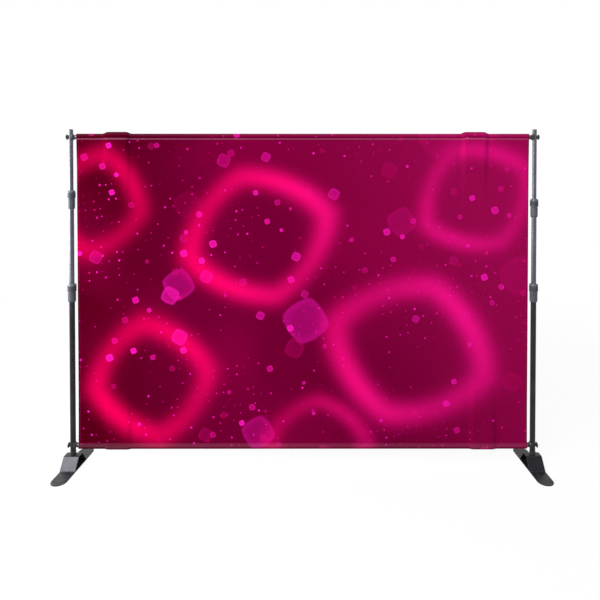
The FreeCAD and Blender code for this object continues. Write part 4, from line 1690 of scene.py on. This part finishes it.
@dataclass
class Studio:
    """The floor, the lamps, the world and the camera."""

    image_size: float = 600.0
    sensor: float = 36.0
    floor_half: float = 30.0
    floor_tone: float = 0.95
    floor_white: tuple[float, float] = (0.92, 0.08)
    paler: tuple[float, float] = (2.0, 6.0)
    surround: tuple[float, float] = (0.35, 1.0)
    focal_px: float = 466.12
    eye: Point = (0.0584, -2.5183, 1.4683)
    pitch: float = 0.01459
    yaw: float = 0.00107
    roll: float = 0.0001
    centre_shift: tuple[float, float] = (14.17, -96.81)
    lamps: tuple[Lamp, ...] = (
        Lamp("Key", (-4.8, -5.8, 6.2), (0.0, 0.0, 0.9), (3.2, 3.2), 545.0),
        Lamp("Overhead", (0.0, -1.0, 4.6), (0.0, -0.4, 0.0), (3.0, 2.0), 50.0),
        Lamp("Left back panel", (-3.2, 0.6, 1.5), (-1.25, 0.0, 1.5), (1.3, 1.3), 60.0),
        Lamp("Left front panel", (-2.95, -1.1, 1.3), (-1.25, 0.0, 1.3), (1.9, 1.1), 56.0),
        Lamp("Left high panel", (-2.92, -2.76, 2.5), (-1.25, 0.0, 0.05), (0.7, 0.7), 34.0),
        Lamp("Left rear panel", (-4.2, 2.4, 1.8), (-1.25, 0.0, 0.1), (1.2, 1.2), 95.0),
        Lamp("Low fill", (3.5, -4.5, 1.2), (0.4, 0.0, 0.8), (1.6, 1.2), 9.0),
    )

    def build(self) -> None:
        """Make everything round the object."""
        self._floor()
        self._world()
        for lamp in self.lamps:
            self._lamp(lamp)
        self._camera()
        bpy.context.scene.view_settings.view_transform = "Standard"

    def _floor(self) -> None:
        """A plain pale floor that keeps the object's shadow."""
        half = self.floor_half
        floor = mesh_object("studio_floor", [(-half, -half, 0), (half, -half, 0), (half, half, 0), (-half, half, 0)],
                            [(0, 1, 2, 3)])
        material = bpy.data.materials.new("Studio floor")
        material.use_nodes = True
        graph = Graph(material.node_tree)
        shader = material.node_tree.nodes["Principled BSDF"]
        shader.inputs["Base Color"].default_value = (*[self.floor_tone] * 3, 1)
        shader.inputs["Roughness"].default_value = 0.9
        shader.inputs["Specular IOR Level"].default_value = 0.1
        glow = graph.node("ShaderNodeEmission")
        glow.inputs["Strength"].default_value = 1.0
        away = graph.node("ShaderNodeVectorMath", operation="LENGTH")
        graph.feed(away.inputs[0], graph.node("ShaderNodeNewGeometry").outputs["Position"])
        near, more = self.floor_white
        white = graph.maths("MULTIPLY_ADD", graph.step(away.outputs["Value"], *self.paler), more, near)
        blend = graph.node("ShaderNodeMixShader")
        graph.feed(blend.inputs[0], graph.product(seen(graph), white))
        graph.feed(blend.inputs[1], shader.outputs[0])
        graph.feed(blend.inputs[2], glow.outputs[0])
        graph.feed(material.node_tree.nodes["Material Output"].inputs["Surface"], blend.outputs[0])
        floor.data.materials.append(material)

    def _world(self) -> None:
        """A white surround for the camera, and an even, weaker light from it."""
        world = bpy.data.worlds.new("Studio")
        world.use_nodes = True
        bpy.context.scene.world = world
        graph = Graph(world.node_tree)
        back = world.node_tree.nodes["Background"]
        back.inputs["Color"].default_value = (1, 1, 1, 1)
        strength = graph.node("ShaderNodeMapRange")
        graph.feed(strength.inputs["Value"], seen(graph))
        strength.inputs["To Min"].default_value, strength.inputs["To Max"].default_value = self.surround
        graph.feed(back.inputs["Strength"], strength.outputs["Result"])

    @staticmethod
    def _lamp(lamp: Lamp) -> None:
        """Make one lamp.

        Args:
            lamp: Its description.
        """
        data = bpy.data.lights.new(lamp.name, "AREA")
        data.shape = "RECTANGLE"
        data.size, data.size_y = lamp.size
        data.energy = lamp.power
        made = in_scene(lamp.name, data)
        made.location = lamp.place
        made.rotation_euler = (Vector(lamp.aim) - Vector(lamp.place)).to_track_quat("-Z", "Y").to_euler()

    def _camera(self) -> None:
        """Make the camera that sees what the photograph shows."""
        data = bpy.data.cameras.new("Camera")
        data.sensor_width = self.sensor
        data.lens = self.sensor * self.focal_px / self.image_size
        data.shift_x = -self.centre_shift[0] / self.image_size
        data.shift_y = self.centre_shift[1] / self.image_size
        data.clip_end = 100.0
        made = in_scene("Camera", data)
        forward = Vector((math.sin(self.yaw) * math.cos(self.pitch), math.cos(self.yaw) * math.cos(self.pitch),
                          -math.sin(self.pitch)))
        right = Vector((math.cos(self.yaw), -math.sin(self.yaw), 0.0))
        up = right.cross(forward)
        tilted_right = right * math.cos(self.roll) + up * math.sin(self.roll)
        tilted_up = up * math.cos(self.roll) - right * math.sin(self.roll)
        turn = Matrix((tilted_right, tilted_up, -forward)).transposed()
        made.matrix_world = Matrix.Translation(Vector(self.eye)) @ turn.to_4x4()
        bpy.context.scene.camera = made


class Wardrobe:
    """Every finish, and the words in the names of the pieces and nodes that wear it."""

    words: tuple[tuple[type[Finish], tuple[str, ...]], ...] = (
        (ZincPlate, ("stud", "bolt")),
        (PrintedCloth, ("cloth", "banner")),
        (FootPaint, ("foot",)),
        (BlackPlastic, ("knob", "saddle", "cap", "plug", "guide", "joiner")),
        (CouplingPlastic, ("collar",)),
        (NutPlastic, ("nut",)),
        (SlidingTubePaint, ("middle_tube", "left_top_tube", "right_top_tube", "extension")),
        (TubePaint, ("tube",)),
    )

    def __init__(self, cloth: BannerCloth) -> None:
        """Make the finishes.

        Args:
            cloth: The built cloth, whose seams the print's stitches follow.
        """
        effects = Effects()
        PrintedCloth.seams = cloth.seams
        self.finishes = [(kind(effects), words) for kind, words in self.words]

    def finish_of(self, name: str) -> Finish:
        """The first finish that suits a piece's or a node's name."""
        return next(finish for finish, words in self.finishes if any(word in name for word in words))

    def dress(self, things: Iterable[Piece]) -> None:
        """Dress each object by its name.

        Args:
            things: Pieces and nodes.
        """
        for thing in things:
            finish = self.finish_of(thing.name)
            finish.dress(thing)
            log.info("%s wears %s", thing.name, finish.name)


def main() -> None:
    """Build the stand's pieces, dress them, and set the studio."""
    logging.basicConfig(level=logging.INFO, format="%(message)s")
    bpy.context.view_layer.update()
    Studio().build()
    pieces: list[Piece] = []
    for side in SIDES:
        pieces += Upright(side).build()
        for level, radius in ((Level.BOTTOM, TUBE_RADII[0]), (Level.TOP, TUBE_RADII[2])):
            pieces += Knob(side, level).build() + Saddle(side, level, radius).build()
    pieces += crossbar_tubes()
    cloth = BannerCloth()
    pieces.append(cloth.build())
    Wardrobe(cloth).dress([*pieces, *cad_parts.values()])
    for piece in pieces:
        log.info("built %s", piece.name)


if __name__ == "__main__":
    main()
